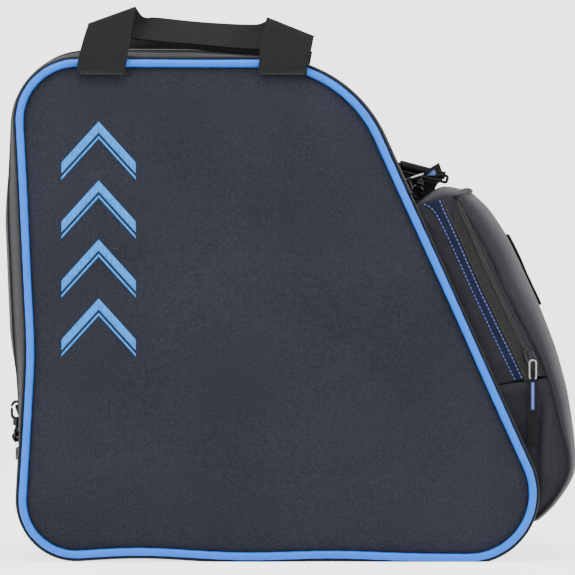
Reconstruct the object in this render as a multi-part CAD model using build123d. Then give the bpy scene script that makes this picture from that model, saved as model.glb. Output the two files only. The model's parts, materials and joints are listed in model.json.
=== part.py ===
from build123d import *
import math
import os

# Ski boot bag, in millimetres. X runs across the front, Y runs from front to back, Z is up.
# The origin is the centre of the flat underside, on the surface that the bag stands on.

# Driving dimensions: body
DEPTH = 240.0            # piping centre to piping centre, front to back
TOP = 389.0              # height of the piping along the top
PIPING_R = 3.3
FABRIC = 1.6             # laminated panel fabric
FOAM = 5.0
GUSSET = 3.0             # padded gusset wall
CORNERS = [(-200, TOP), (56, TOP), (230, PIPING_R), (-198, PIPING_R), (-189, 165)]
CORNER_RADII = [45, 100, 50, 45, 400]
FOLD_LEFT = (-190.0, 100.0)     # left end of the line that the flap folds about
FOLD_RIGHT = (103.0, 284.0)     # right end of it

# Driving dimensions: main zip
STRIP_FRONT = -116.6
STRIP_BACK = -92.8
TAPE = 3.4
COIL = 0.9
ZIP_GAP = 0.4
MAIN_PULL_HINGE = (107.0, 300.0)
PULL_SWING = 84.0        # how far the main pull has swung out from the line of the zip

# Driving dimensions: webbing and hardware
WEB = 38.0
PLY = 1.6
WIRE_R = 1.2
RING_HEIGHT = 18.9
HOOK_LEFT = (-207.0, 104.5)     # swivel of each snap hook, and the way from it to the strap bar
HOOK_RIGHT = (117.67, 299.52)
HOOK_RIGHT_UP = (0.2517, 0.968)
EYE_REACH = 9.8

# Driving dimensions: side pocket
POCKET_HALF = 95.0
POCKET_WALL = 2.5
POCKET_SPLIT = 150.0
POCKET_PROFILE = [
    (85, 277), (105.8, 277), (117, 279.5), (125, 289), (136, 295), (157, 292), (175.5, 272), (188, 247.5),
    (209.5, 200), (216.5, 189), (228, 153), (237, 106), (239, 81), (236.7, 69), (222.5, 44), (205, 27), (160, 27),
]
POCKET_ZIP = [(141, 300), (143.5, 285.5), (168.5, 228), (186.4, 190.3), (201, 160), (205.5, POCKET_SPLIT)]

FRONT_Y = -DEPTH / 2
BACK_Y = DEPTH / 2
FOLD_LENGTH = math.dist(FOLD_LEFT, FOLD_RIGHT)
FOLD_DIR = ((FOLD_RIGHT[0] - FOLD_LEFT[0]) / FOLD_LENGTH, (FOLD_RIGHT[1] - FOLD_LEFT[1]) / FOLD_LENGTH)
SLANT_LENGTH = math.dist(CORNERS[1], CORNERS[2])
SLANT_UP = ((CORNERS[1][0] - CORNERS[2][0]) / SLANT_LENGTH, (CORNERS[1][1] - CORNERS[2][1]) / SLANT_LENGTH)
SLANT_OUT = (SLANT_UP[1], -SLANT_UP[0])


def polygon(points):
    """A flat face in X and Z through the given corners."""
    return make_face(Polyline(*points, close=True))


def slab(face, y0, y1):
    """An X-Z face given depth from y0 to y1."""
    return Pos(0, y1, 0) * extrude(Plane.XZ * face, amount=y1 - y0)


def block(x, y, z):
    """A box from its limits along each axis, each a (low, high) pair."""
    centre = Pos((x[0] + x[1]) / 2, (y[0] + y[1]) / 2, (z[0] + z[1]) / 2)
    return centre * Box(x[1] - x[0], y[1] - y[0], z[1] - z[0])


def outline(grow=0.0):
    """The side outline of the body, grown outwards by the given distance."""
    face = make_face(FilletPolyline(*CORNERS, radius=CORNER_RADII, close=True))
    return offset(face, amount=grow) if grow else face


def band(inner, outer):
    """The ring between two offsets of the outline."""
    return outline(outer) - outline(inner)


def beside_fold(side, gap):
    """The half plane above (side 1) or below (side -1) the fold line, kept the gap away from it."""
    ux, uz = FOLD_DIR
    nx, nz = -uz * side, ux * side
    x, z = FOLD_LEFT[0] + nx * gap, FOLD_LEFT[1] + nz * gap
    near = [(x - 600 * ux, z - 600 * uz), (x + 600 * ux, z + 600 * uz)]
    far = [(a + 900 * nx, b + 900 * nz) for a, b in reversed(near)]
    return polygon(near + far)


def on_slant(height, out):
    """A point beside the slanted edge: its height, and its distance out from the piping line."""
    run = (CORNERS[1][1] - height) / SLANT_UP[1]
    x = CORNERS[1][0] - run * SLANT_UP[0] + out * SLANT_OUT[0]
    return x, height + out * SLANT_OUT[1]


def piping():
    """A round cord along the whole outline, at y = 0."""
    wire = Plane.XZ * FilletPolyline(*CORNERS, radius=CORNER_RADII, close=True)
    start = Plane(origin=wire @ 0, z_dir=wire % 0)
    return sweep(start * Circle(PIPING_R), path=wire)


def panels(parts):
    """Front and back panels with their foam, split along the flap's fold line at the front."""
    face = outline(-PIPING_R - 0.1)
    foam = outline(-9)
    upper, lower = beside_fold(1, 0.4), beside_fold(-1, 0.4)
    skin = FABRIC / 2
    parts["back_panel"] = slab(face, BACK_Y - skin, BACK_Y + skin)
    parts["back_foam"] = slab(foam, BACK_Y - skin - FOAM, BACK_Y - skin)
    for name, side in (("flap", upper), ("lower", lower)):
        parts["front_panel_" + name] = slab(face & side, FRONT_Y - skin, FRONT_Y + skin)
        parts["front_foam_" + name] = slab(foam & side, FRONT_Y + skin, FRONT_Y + skin + FOAM)


def pipings(parts):
    """Piping round the back panel, and round the front panel in two lengths."""
    cord = piping()
    front = Pos(0, FRONT_Y, 0) * cord
    parts["piping_back"] = Pos(0, BACK_Y, 0) * cord
    for name, side in (("flap", 1), ("lower", -1)):
        keep = slab(beside_fold(side, 0.4), FRONT_Y - 20, FRONT_Y + 20)
        parts["piping_front_" + name] = front & keep


def gussets(parts):
    """The wall between the panels: a base length, a zip length, and the flap's own strip."""
    wall = band(PIPING_R - GUSSET, PIPING_R)
    above, below = beside_fold(1, 0.2), beside_fold(-1, 0.2)
    rear_start = STRIP_BACK + 2 * TAPE + ZIP_GAP + 2 * COIL
    parts["base_gusset"] = slab(wall & below, STRIP_FRONT, -STRIP_FRONT)
    parts["zip_gusset"] = slab(wall & above, rear_start, -STRIP_FRONT)
    parts["zip_gusset_front_strip"] = slab(wall & beside_fold(1, 6), STRIP_FRONT, STRIP_BACK)
    tape = band(PIPING_R - 1.2, PIPING_R - 0.4) & beside_fold(1, 6)
    coil = band(PIPING_R - 1.4, PIPING_R + 0.2) & beside_fold(1, 6)
    middle = STRIP_BACK + TAPE + COIL + ZIP_GAP / 2
    front_edge, rear_edge = middle - ZIP_GAP / 2, middle + ZIP_GAP / 2
    parts["main_zip_tape_front"] = slab(tape, STRIP_BACK, front_edge - COIL)
    parts["main_zip_coil_front"] = slab(coil, front_edge - COIL, front_edge)
    parts["main_zip_coil_rear"] = slab(coil, rear_edge, rear_edge + COIL)
    parts["main_zip_tape_rear"] = slab(tape, rear_edge + COIL, rear_start)
    parts["base_board"] = block((-150, 150), (-108, 108), (PIPING_R - 0.1, PIPING_R + 2.6))


def main_slider(parts):
    """Slider of the main zip, parked at the right end of it, with its metal pull and webbing tab."""
    middle = STRIP_BACK + TAPE + COIL + ZIP_GAP / 2
    x, z = on_slant(292, PIPING_R + 0.6)
    tilt = math.degrees(math.atan2(SLANT_UP[0], SLANT_UP[1]))
    frame = Pos(x, middle, z) * Rot(0, tilt, 0)
    body = frame * Pos(1.6, 0, 0) * Box(3.2, 9.5, 14)
    bridge = frame * Pos(4.2, 0, 0) * Box(2.0, 2.4, 10)
    body = fillet(body.edges().filter_by(Axis.Y), 1.0)
    parts["main_slider"] = body + bridge
    hinge_x, hinge_z = MAIN_PULL_HINGE
    swung = Pos(hinge_x, 0, hinge_z) * Rot(0, PULL_SWING, 0) * Pos(-hinge_x, 0, -hinge_z)
    pull_frame = swung * frame * Pos(6.4, 0, 5.4) * Rot(0, 12, 0)
    pull = pull_frame * Pos(0, 0, 5) * (Box(1.4, 6, 12) - Pos(0, 0, -3.4) * Box(3, 3.2, 2.6))
    parts["main_pull"] = pull
    parts["main_pull_tab"] = pull_frame * Pos(0, 0, 18.1) * Box(2.4, 10, 14)


def handle(side):
    """One carry handle: two upright legs, a folded corner at each and a grip tilted over the bag."""
    face = FRONT_Y - PIPING_R - 0.5
    left = polygon([(-153, 387.6), (-115, 387.6), (-107, 430), (-144, 418)])
    right = polygon([(-11.5, 387.6), (26.5, 387.6), (31, 409), (13, 419), (-5, 423)])
    legs = slab(left, face - PLY, face) + slab(right, face - PLY, face)
    grip = Pos(-58, face - PLY / 2, 398) * Rot(-50, 0, 0) * Pos(0, 0, WEB / 2 - 0.8) * Box(146, PLY, WEB)
    whole = legs + grip
    return whole if side < 0 else mirror(whole, about=Plane.XZ)


def handles(parts):
    """Front and back handles, and the stitched ends that hold them to the bag."""
    face = FRONT_Y - PIPING_R - 0.5
    for name, side in (("front", -1), ("back", 1)):
        parts[name + "_handle"] = handle(side)
        ends = [block((x, x + WEB), (face - PLY, face), (379.5, 385.2)) for x in (-153, -11.5)]
        pair = ends[0] + ends[1]
        parts[name + "_handle_ends"] = pair if side < 0 else mirror(pair, about=Plane.XZ)


def emblem(parts):
    """Stitched mountain stripes on the flap: four chevrons, one above another."""
    depth = FRONT_Y - FABRIC / 2
    stripes = []
    for low in (160, 206, 252, 298):
        mark = [(-165, low), (-136, low + 32), (-107, low), (-107, low + 14), (-136, low + 46), (-165, low + 14)]
        stripes.append(slab(polygon(mark), depth - 0.8, depth))
    parts["front_emblem"] = stripes[0] + stripes[1] + stripes[2] + stripes[3]


def side_pocket(parts):
    """Boot pocket on the slanted side: fixed walls, and a face that unzips and folds outwards."""
    profile = polygon(POCKET_PROFILE) - outline(PIPING_R + 0.05)
    rim = profile - offset(polygon(POCKET_PROFILE), amount=-POCKET_WALL)
    inner_side = polygon([(60, 300)] + POCKET_ZIP + [(260, POCKET_SPLIT), (260, 0), (60, 0)])
    shifted = [(x + 0.5, z + 0.3) for x, z in POCKET_ZIP]
    outer_side = polygon(shifted[:-1] + [(206.0, POCKET_SPLIT + 0.5), (280, POCKET_SPLIT + 0.5), (280, 330)])
    inner_depth = POCKET_HALF - POCKET_WALL
    fixed = profile & inner_side
    parts["pocket_side_front"] = slab(fixed, -POCKET_HALF, -inner_depth)
    parts["pocket_side_back"] = slab(fixed, inner_depth, POCKET_HALF)
    fixed_rim = slab(rim & inner_side, -inner_depth, inner_depth)
    high = fixed_rim & block((60, 260), (-100, 100), (200, 320))
    low = fixed_rim & block((190, 260), (-100, 100), (0, 180))
    parts["pocket_top_wall"] = high
    parts["pocket_lower_face"] = low
    opening = profile & outer_side
    face = slab(rim & outer_side, -POCKET_HALF, POCKET_HALF)
    for y0, y1 in ((-POCKET_HALF, -inner_depth), (inner_depth, POCKET_HALF)):
        face = face + slab(opening, y0, y1)
    parts["pocket_flap_face"] = face


def along(points, low, high, push):
    """A narrow strip beside a line of points, from low to high off the line, along the given push."""
    px, pz = push
    near = [(x + low * px, z + low * pz) for x, z in points]
    far = [(x + high * px, z + high * pz) for x, z in points]
    return polygon(near + far[::-1])


def pocket_trim(parts):
    """Zip tapes, edge tape and label of the pocket."""
    face = -POCKET_HALF
    run = POCKET_ZIP[1:-1]
    push = (0.9, 0.42)
    parts["pocket_zip_tape_body"] = slab(along(run, -4.5, -0.1, push), face - 0.9, face - 0.02)
    parts["pocket_zip_tape_flap"] = slab(along(run, 0.75, 4.0, push), face - 0.9, face - 0.02)
    edge = [(130, 281), (146, 253), (164, 213), (182, 174), (190.5, 145)]
    parts["pocket_edge_tape"] = slab(along(edge, -3.0, 3.0, (0.91, 0.41)), face - 0.7, face - 0.02)
    label = Pos(200.5, 0, 228.8) * Rot(0, -25.1, 0) * Pos(3.0, 0, 0) * Box(1.4, 40, 56)
    parts["pocket_label"] = label


def pocket_slider(parts):
    """Slider of the pocket zip at the lower end of its run, with its pull and webbing tab."""
    top, low = POCKET_ZIP[3], POCKET_ZIP[4]
    length = math.dist(top, low)
    lean = math.degrees(math.atan2((top[0] - low[0]) / length, (top[1] - low[1]) / length))
    frame = Pos(low[0] + 0.3, -POCKET_HALF - 1.3, low[1]) * Rot(0, lean, 0)
    body = frame * Pos(0, -1.4, 0) * Box(8.6, 2.8, 13)
    body = fillet(body.edges().filter_by(Axis.Y), 1.2)
    parts["pocket_slider"] = body + frame * Pos(0, -3.6, 0) * Box(2.2, 1.8, 9)
    hinge = Pos(low[0] + 2.6, -POCKET_HALF - 6.9, low[1] - 5.5)
    pull = Pos(0, 0, -5) * (Box(5, 1.4, 15) - Pos(0, 0, 4.9) * Box(2.6, 3, 2.8))
    parts["pocket_pull"] = hinge * pull
    parts["pocket_pull_tab"] = hinge * Pos(0, 0, -39.1) * Box(10, 2.4, 53)


def ring(bar, far):
    """A D-ring: a straight bar along Y through one point, and its round side through the other."""
    half = 14.2
    path = FilletPolyline(
        (-half, 0), (half, 0), (half, RING_HEIGHT), (-half, RING_HEIGHT), radius=[2.6, 2.6, 9, 9], close=True)
    lean = math.degrees(math.atan2(far[0] - bar[0], far[1] - bar[1]))
    wire = Pos(bar[0], 0, bar[1]) * Rot(0, lean, 0) * (Plane.YZ * path)
    start = Plane(origin=wire @ 0.1, z_dir=wire % 0.1)
    return sweep(start * Circle(WIRE_R), path=wire)


def ring_tab(bar, root):
    """The webbing tab that wraps the ring's bar and runs back to the seam at root."""
    reach = math.dist(bar, root)
    turn = math.degrees(math.atan2(root[1] - bar[1], root[0] - bar[0]))
    tail = Rot(0, 0, turn) * Pos(reach / 2, 0) * Rectangle(reach, 3.2)
    shape = Pos(*bar) * (Circle(3.3) + tail - Circle(1.75))
    return slab(shape, -12, 12)


def hook_frame(side):
    """Where a snap hook stands: its swivel at the origin, its jaw along local +Z."""
    if side == "left":
        return Pos(HOOK_LEFT[0], 0, HOOK_LEFT[1])
    lean = math.degrees(math.atan2(-HOOK_RIGHT_UP[0], -HOOK_RIGHT_UP[1]))
    return Pos(HOOK_RIGHT[0], 0, HOOK_RIGHT[1]) * Rot(0, lean, 0)


def snap_hook():
    """The hook body: an oval loop with a gap for its gate, on a round collar bored for the swivel."""
    loop = SlotOverall(16.5, 10.5, rotation=90) - SlotOverall(11.4, 5.3, rotation=90)
    loop = Pos(0, 10.75) * loop - Pos(-4, 9.6) * Rectangle(4, 7.6)
    body = slab(loop, -2.1, 2.1)
    collar = Pos(0, 0, 0.9) * Cylinder(3.4, 4.6)
    return body + collar - Pos(0, 0, 1) * Cylinder(1.56, 7) - Pos(0, 0, 4.2) * Cylinder(2.5, 2.0)


def hook_gate():
    """The sprung gate that fills the hook's gap, at its place in the hook."""
    bar = Pos(-3.95, 9.6) * Rectangle(2.4, 7.0)
    return slab(fillet(bar.vertices(), 0.8), -1.8, 1.8)


def swivel_eye():
    """The strap eye: a round bar frame for 38 mm webbing, with a headed post through the collar."""
    half = WEB / 2 + 2.2
    path = FilletPolyline(
        (-half, -EYE_REACH), (half, -EYE_REACH), (half, -4.6), (-half, -4.6), radius=1.6, close=True)
    wire = Plane.XZ * path
    frame = sweep(Plane(origin=wire @ 0.1, z_dir=wire % 0.1) * Circle(1.25), path=wire)
    post = Pos(0, 0, -0.2) * Cylinder(1.5, 8.0)
    head = Pos(0, 0, 4.4) * Cylinder(2.2, 1.2)
    return frame + post + head


def strap_hardware(parts):
    """Ring, tab, hook, gate and swivel eye at each end of the shoulder strap."""
    seats = {
        "left": ((-199.6, 101.5), (-207.0, 118.85), (-195.0, 100.6)),
        "right": ((103.4, 301.2), (114.1, 285.6), on_slant(299.5, PIPING_R + 0.1)),
    }
    for side, (bar, far, root) in seats.items():
        parts["ring_" + side] = ring(bar, far)
        tab = ring_tab(bar, root) - slab(outline(PIPING_R + 0.02), -20, 20)
        parts["ring_tab_" + side] = tab
        frame = hook_frame(side)
        turn = Rot(0, 0, 90) if side == "left" else Rot(0, 0, 0)
        parts["snap_hook_" + side] = frame * snap_hook()
        parts["hook_gate_" + side] = frame * hook_gate()
        parts["swivel_eye_" + side] = frame * turn * swivel_eye()


def section(centre, across, normal):
    """A strap section: 38 mm along the across direction, one ply along the normal."""
    plane = Plane(origin=centre, x_dir=across, z_dir=Vector(*across).cross(Vector(*normal)))
    return plane * Rectangle(WEB, PLY)


def strap(parts):
    """The shoulder strap, stowed behind the bag: eye to eye, with a flat fold at each turn."""
    low, high = 32.0, 32.0 + WEB
    left_x, back_y = -202.5, 125.4
    bar_left = (HOOK_LEFT[0], HOOK_LEFT[1] - EYE_REACH)
    bar_right = (HOOK_RIGHT[0] + EYE_REACH * HOOK_RIGHT_UP[0], HOOK_RIGHT[1] + EYE_REACH * HOOK_RIGHT_UP[1])
    across, up = (HOOK_RIGHT_UP[1], 0, -HOOK_RIGHT_UP[0]), (HOOK_RIGHT_UP[0], 0, HOOK_RIGHT_UP[1])
    wrap = slab(Circle(3.3) - Circle(1.7), -WEB / 2, WEB / 2)
    wrap_left = Pos(bar_left[0], 0, bar_left[1]) * wrap
    wrap_right = Pos(bar_right[0], 0, bar_right[1]) * Rot(0, 14.58, 0) * Rot(0, 0, 90) * wrap
    lift = 2.5
    start = (bar_right[0] + lift * up[0], 0, bar_right[1] + lift * up[2])
    over = [
        section(start, across, up),
        section((119.5, 118, 305), (0.985, 0, -0.17), (0.17, 0.25, 0.95)),
        section((116.5, 127.2, 299), (1, 0, 0), (0, 0.8, 0.6)),
        section((113, back_y + 1.5 * PLY, 290), (1, 0, 0), (0, 1, 0)),
    ]
    body = wrap_left + wrap_right
    for first, second in zip(over, over[1:]):
        body = body + loft([first, second], ruled=True)
    down = polygon([(94, 291), (132, 291), (132, high), (94, low)])
    across_back = polygon([(left_x, low), (94, low), (132, high), (left_x, high)])
    body = body + slab(down, back_y + PLY, back_y + 2 * PLY) + slab(across_back, back_y, back_y + PLY)
    side_run = Plane.YZ * polygon([(-19, high), (19, low), (back_y + PLY, low), (back_y + PLY, high)])
    fold = Plane.YZ * polygon([(-19, high), (19, low), (19, high + 0.5), (-19, high + 0.5)])
    body = body + Pos(left_x, 0, 0) * extrude(side_run, amount=PLY)
    body = body + Pos(left_x - PLY, 0, 0) * extrude(fold, amount=PLY)
    drop = [
        section((bar_left[0] + lift, 0, bar_left[1]), (0, 1, 0), (1, 0, 0)),
        section((left_x - PLY / 2, 0, high), (0, 1, 0), (1, 0, 0)),
    ]
    parts["shoulder_strap"] = body + loft(drop, ruled=True)
    slope = math.degrees(math.atan2(drop[0].center().X - drop[1].center().X, bar_left[1] - high))
    middle = (drop[0].center() + drop[1].center()) / 2
    frame = Pos(middle.X, 0, middle.Z - 1.5) * Rot(0, slope, 0)
    sleeve = Box(5.6, WEB + 8, 10) - Box(2.6, WEB + 1.6, 12)
    parts["strap_adjuster"] = frame * sleeve


def main():
    """Make every sub-part and write each to its own file."""
    parts = {}
    for make in (panels, pipings, gussets, main_slider, handles, emblem, side_pocket, pocket_trim,
                 pocket_slider, strap_hardware, strap):
        make(parts)
    os.makedirs("parts", exist_ok=True)
    for name, shape in parts.items():
        export_step(shape, f"parts/{name}.step")
        box = shape.bounding_box()
        print(name, round(shape.volume), box.min, box.max)


main()
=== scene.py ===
import json
import math

import bmesh
import bpy
import numpy as np
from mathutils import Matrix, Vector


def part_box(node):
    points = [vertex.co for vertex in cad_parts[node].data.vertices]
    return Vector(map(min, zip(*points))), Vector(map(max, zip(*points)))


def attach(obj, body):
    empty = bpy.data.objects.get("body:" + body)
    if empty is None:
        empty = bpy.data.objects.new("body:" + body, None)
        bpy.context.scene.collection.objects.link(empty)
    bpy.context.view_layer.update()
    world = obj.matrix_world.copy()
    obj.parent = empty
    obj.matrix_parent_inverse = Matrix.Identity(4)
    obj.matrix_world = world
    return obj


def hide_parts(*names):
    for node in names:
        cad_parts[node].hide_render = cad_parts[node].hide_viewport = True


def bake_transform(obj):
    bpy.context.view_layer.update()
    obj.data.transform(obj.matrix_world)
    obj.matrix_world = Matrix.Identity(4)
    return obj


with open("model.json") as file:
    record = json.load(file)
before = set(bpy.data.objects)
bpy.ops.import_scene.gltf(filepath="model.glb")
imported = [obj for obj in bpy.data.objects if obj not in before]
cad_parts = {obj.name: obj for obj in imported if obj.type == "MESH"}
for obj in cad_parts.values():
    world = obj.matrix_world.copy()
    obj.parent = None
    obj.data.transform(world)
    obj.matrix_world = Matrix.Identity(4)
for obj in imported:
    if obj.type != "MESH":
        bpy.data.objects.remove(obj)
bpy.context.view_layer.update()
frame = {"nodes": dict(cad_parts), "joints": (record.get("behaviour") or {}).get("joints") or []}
MM = 0.001

# ---- Camera, floor and light ----
# A long lens level with the middle of the bag, square to its front panel, over a pale floor that turns
# up into a pale round wall. Soft light comes from a large window of light overhead and two at the sides.
FRONT_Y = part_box("front_panel_lower")[0].y
VIEW_WIDTH = 0.4485
VIEW_CENTRE = (0.0113, 0.2141)
CAMERA_AWAY = 3.6
SENSOR = 36.0

camera_data = bpy.data.cameras.new("camera")
camera_data.sensor_width = SENSOR
camera_data.lens = SENSOR * CAMERA_AWAY / VIEW_WIDTH
camera = bpy.data.objects.new("camera", camera_data)
camera.location = (VIEW_CENTRE[0], FRONT_Y - CAMERA_AWAY, VIEW_CENTRE[1])
camera.rotation_euler = (math.radians(90), 0, 0)
bpy.context.collection.objects.link(camera)
bpy.context.scene.camera = camera


def surface(name, points, uv=None, closed=False, flip=False, weld=False):
    """A mesh object over a grid of points, rows by columns by 3. Each square of four neighbours is a face.
    uv gives each point's place on the flat cloth in metres; closed joins the last row to the first, and
    then uv has one row more. weld merges points that coincide, which closes a pole."""
    rows, cols = points.shape[:2]
    steps = rows if closed else rows - 1
    i, j = np.meshgrid(np.arange(steps), np.arange(cols - 1), indexing="ij")
    i, j = i.ravel(), j.ravel()
    corner_rows = np.stack([i, i + 1, i + 1, i], 1)
    corner_cols = np.stack([j, j, j + 1, j + 1], 1)
    if flip:
        corner_rows, corner_cols = corner_rows[:, ::-1], corner_cols[:, ::-1]
    faces = (corner_rows % rows) * cols + corner_cols
    mesh = bpy.data.meshes.new(name)
    mesh.from_pydata(points.reshape(-1, 3).tolist(), [], faces.tolist())
    if uv is not None:
        layer = mesh.uv_layers.new(name="cloth")
        layer.data.foreach_set("uv", uv[corner_rows, corner_cols].astype(np.float32).ravel())
    mesh.polygons.foreach_set("use_smooth", np.ones(len(faces), bool))
    if weld:
        mend(mesh, weld=True)
    return shown(name, mesh)


def mend(mesh, weld):
    """Merge a mesh's coincident points, which closes its seams and poles, or turn its faces outwards."""
    work = bmesh.new()
    work.from_mesh(mesh)
    if weld:
        bmesh.ops.remove_doubles(work, verts=work.verts, dist=1e-6)
    else:
        bmesh.ops.recalc_face_normals(work, faces=work.faces)
    work.to_mesh(mesh)
    work.free()


def shown(name, mesh, finish=None):
    """A new object for a mesh, with its finish."""
    piece = bpy.data.objects.new(name, mesh)
    bpy.context.collection.objects.link(piece)
    if finish:
        piece.data.materials.append(finish)
    return piece


def material(name, colour, roughness=0.6, metallic=0.0, **sockets):
    """A new material with these values on its Principled shader's own sockets."""
    made = bpy.data.materials.new(name)
    made.use_nodes = True
    shader = made.node_tree.nodes["Principled BSDF"]
    shader.inputs["Base Color"].default_value = (*colour, 1)
    shader.inputs["Roughness"].default_value = roughness
    shader.inputs["Metallic"].default_value = metallic
    for socket, value in sockets.items():
        shader.inputs[socket.replace("_", " ")].default_value = value
    return made


def node(tree, kind, inputs=(), **settings):
    """Add a node to a tree, set its properties, and set or link its inputs, given as (socket, value) pairs."""
    made = tree.nodes.new(kind)
    for key, value in settings.items():
        setattr(made, key, value)
    for socket, value in inputs:
        if isinstance(value, bpy.types.NodeSocket):
            tree.links.new(value, made.inputs[socket])
        else:
            made.inputs[socket].default_value = value
    return made


def ranged(tree, value, from_min=0.0, from_max=1.0, to_min=0.0, to_max=1.0):
    """A value moved from one range to another, and kept within it."""
    return node(tree, "ShaderNodeMapRange", [("Value", value), ("From Min", from_min), ("From Max", from_max),
                                             ("To Min", to_min), ("To Max", to_max)]).outputs[0]


WALL_AWAY = 16.0
WALL_HIGH = 13.0
COVE = 3.0
PAPER_SHINE = 1.15
PAPER_SEEN = 2.3
turn = np.linspace(0, math.pi / 2, 9)
profile_r = np.concatenate([[0.0, 2.0], WALL_AWAY - COVE + COVE * np.sin(turn), [WALL_AWAY]])
profile_z = np.concatenate([[0.0, 0.0], COVE - COVE * np.cos(turn), [WALL_HIGH]])
around = np.linspace(0, 2 * math.pi, 73)[:, None]
bowl = np.stack(np.broadcast_arrays(np.cos(around) * profile_r, np.sin(around) * profile_r, profile_z), -1)
backdrop = surface("backdrop", bowl, flip=True, weld=True)
backdrop_paper = material("backdrop_paper", (0.60, 0.60, 0.60), 0.9, Emission_Color=(1, 1, 1, 1))
# The paper is lit more strongly to the lens than it shines on the bag, as with a separate background light.
tree = backdrop_paper.node_tree
ray = tree.nodes.new("ShaderNodeLightPath").outputs["Is Camera Ray"]
lit = ranged(tree, ray, to_min=PAPER_SHINE, to_max=PAPER_SEEN)
tree.links.new(lit, tree.nodes["Principled BSDF"].inputs["Emission Strength"])
backdrop.data.materials.append(backdrop_paper)

world = bpy.data.worlds.new("studio")
world.use_nodes = True
world.node_tree.nodes["Background"].inputs["Color"].default_value = (0.97, 0.98, 1.0, 1)
world.node_tree.nodes["Background"].inputs["Strength"].default_value = 0.6
bpy.context.scene.world = world


def soft_light(name, place, aim, size, watts):
    """A square window of light at a place, turned towards its aim."""
    data = bpy.data.lights.new(name, "AREA")
    data.size = size
    data.energy = watts
    lamp = bpy.data.objects.new(name, data)
    lamp.location = place
    away = np.array(aim) - np.array(place)
    flat = math.hypot(away[0], away[1])
    lamp.rotation_euler = (math.atan2(flat, -away[2]), 0, math.atan2(-away[0], away[1]))
    bpy.context.collection.objects.link(lamp)


UPPER_MIDDLE = (0, 0, 0.3)
soft_light("light_overhead", (-0.2, -0.6, 1.7), UPPER_MIDDLE, 1.2, 38)
soft_light("light_left", (-1.5, -1.4, 0.9), UPPER_MIDDLE, 1.0, 15)
soft_light("light_right", (1.5, -0.7, 0.9), (0.15, 0, 0.3), 0.8, 12)

# ---- Panel cloth ----
# The bag is sewn from a close plain-woven polyester, laminated to foam: slate-black threads that cross
# over and under, a slight mottling from dyeing, and a faint sheen where the cloth turns away.


def maths(tree, operation, *values):
    """The result of a Math node on these values or sockets."""
    return node(tree, "ShaderNodeMath", enumerate(values), operation=operation).outputs[0]


def noise(tree, scale, detail=2.0, distortion=0.0):
    """The factor of a noise over the object's own coordinates."""
    place = tree.nodes.new("ShaderNodeTexCoord").outputs["Object"]
    return node(tree, "ShaderNodeTexNoise", [("Vector", place), ("Scale", scale), ("Detail", detail),
                                             ("Distortion", distortion)]).outputs["Fac"]


def two_tone(made, factor, dark, light, height, depth, strength=1.0):
    """Colour a material from dark to light by a factor, and bump it by a height whose full range is depth."""
    tree = made.node_tree
    shader = tree.nodes["Principled BSDF"]
    tint = node(tree, "ShaderNodeMix", [(0, factor), (6, (*dark, 1)), (7, (*light, 1))], data_type="RGBA")
    bump = node(tree, "ShaderNodeBump", [("Height", height), ("Distance", depth), ("Strength", strength)])
    tree.links.new(tint.outputs[2], shader.inputs["Base Color"])
    tree.links.new(bump.outputs["Normal"], shader.inputs["Normal"])
    return made


def new_group(name, inputs, outputs):
    """A node group with a Vector input and these number inputs and outputs, and its two end nodes."""
    group = bpy.data.node_groups.new(name, "ShaderNodeTree")
    group.interface.new_socket(name="Vector", in_out="INPUT", socket_type="NodeSocketVector")
    for sockets, way in ((inputs, "INPUT"), (outputs, "OUTPUT")):
        for socket in sockets:
            group.interface.new_socket(name=socket, in_out=way, socket_type="NodeSocketFloat")
    return group, group.nodes.new("NodeGroupInput"), group.nodes.new("NodeGroupOutput")


def grouped(tree, group, **sockets):
    """A group's node over the piece's own UV map, with these values on its inputs."""
    place = tree.nodes.new("ShaderNodeTexCoord")
    return node(tree, "ShaderNodeGroup", [("Vector", place.outputs["UV"]), *sockets.items()], node_tree=group)


def weave_group():
    """The cloth's height and shade: two sets of rounded threads, the uppermost one swapped in a chequer,
    with the thread lines nudged by noise so that they aren't ruler straight. The shade is painted shade,
    dark between the threads, flecked by a noise for the uneven yarn."""
    group, start, end = new_group("plain_weave", ("Threads",), ("Height", "Shade"))
    vector, threads = start.outputs["Vector"], start.outputs["Threads"]
    scaled = node(group, "ShaderNodeVectorMath", [(0, vector), ("Scale", threads)], operation="SCALE")
    wander = node(group, "ShaderNodeTexNoise", [("Vector", scaled.outputs[0]), ("Scale", 0.35)])
    nudge = node(group, "ShaderNodeVectorMath", [(0, wander.outputs["Color"]), (1, (0.9, 0.9, 0.0))],
                 operation="MULTIPLY")
    moved = node(group, "ShaderNodeVectorMath", [(0, scaled.outputs[0]), (1, nudge.outputs[0])],
                 operation="ADD")
    parts = node(group, "ShaderNodeSeparateXYZ", [(0, moved.outputs[0])])
    rounded = []
    for axis in ("X", "Y"):
        wave = maths(group, "SINE", maths(group, "MULTIPLY", parts.outputs[axis], math.pi))
        rounded.append(maths(group, "ABSOLUTE", wave))
    chequer = node(group, "ShaderNodeTexChecker", [("Vector", moved.outputs[0]), ("Scale", 1.0)])
    top = node(group, "ShaderNodeMix", [("Factor", chequer.outputs["Fac"]), ("A", rounded[0]),
                                        ("B", rounded[1])])
    speck = node(group, "ShaderNodeTexNoise", [("Vector", scaled.outputs[0]), ("Scale", 1.3), ("Detail", 3.0)])
    shade = maths(group, "MULTIPLY", top.outputs[0], speck.outputs["Fac"])
    group.links.new(top.outputs[0], end.inputs["Height"])
    group.links.new(shade, end.inputs["Shade"])
    return group


PLAIN_WEAVE = weave_group()
MOTTLE = 0.12
SLUBS = 620.0
SLUB_SHADE = 0.22


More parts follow.
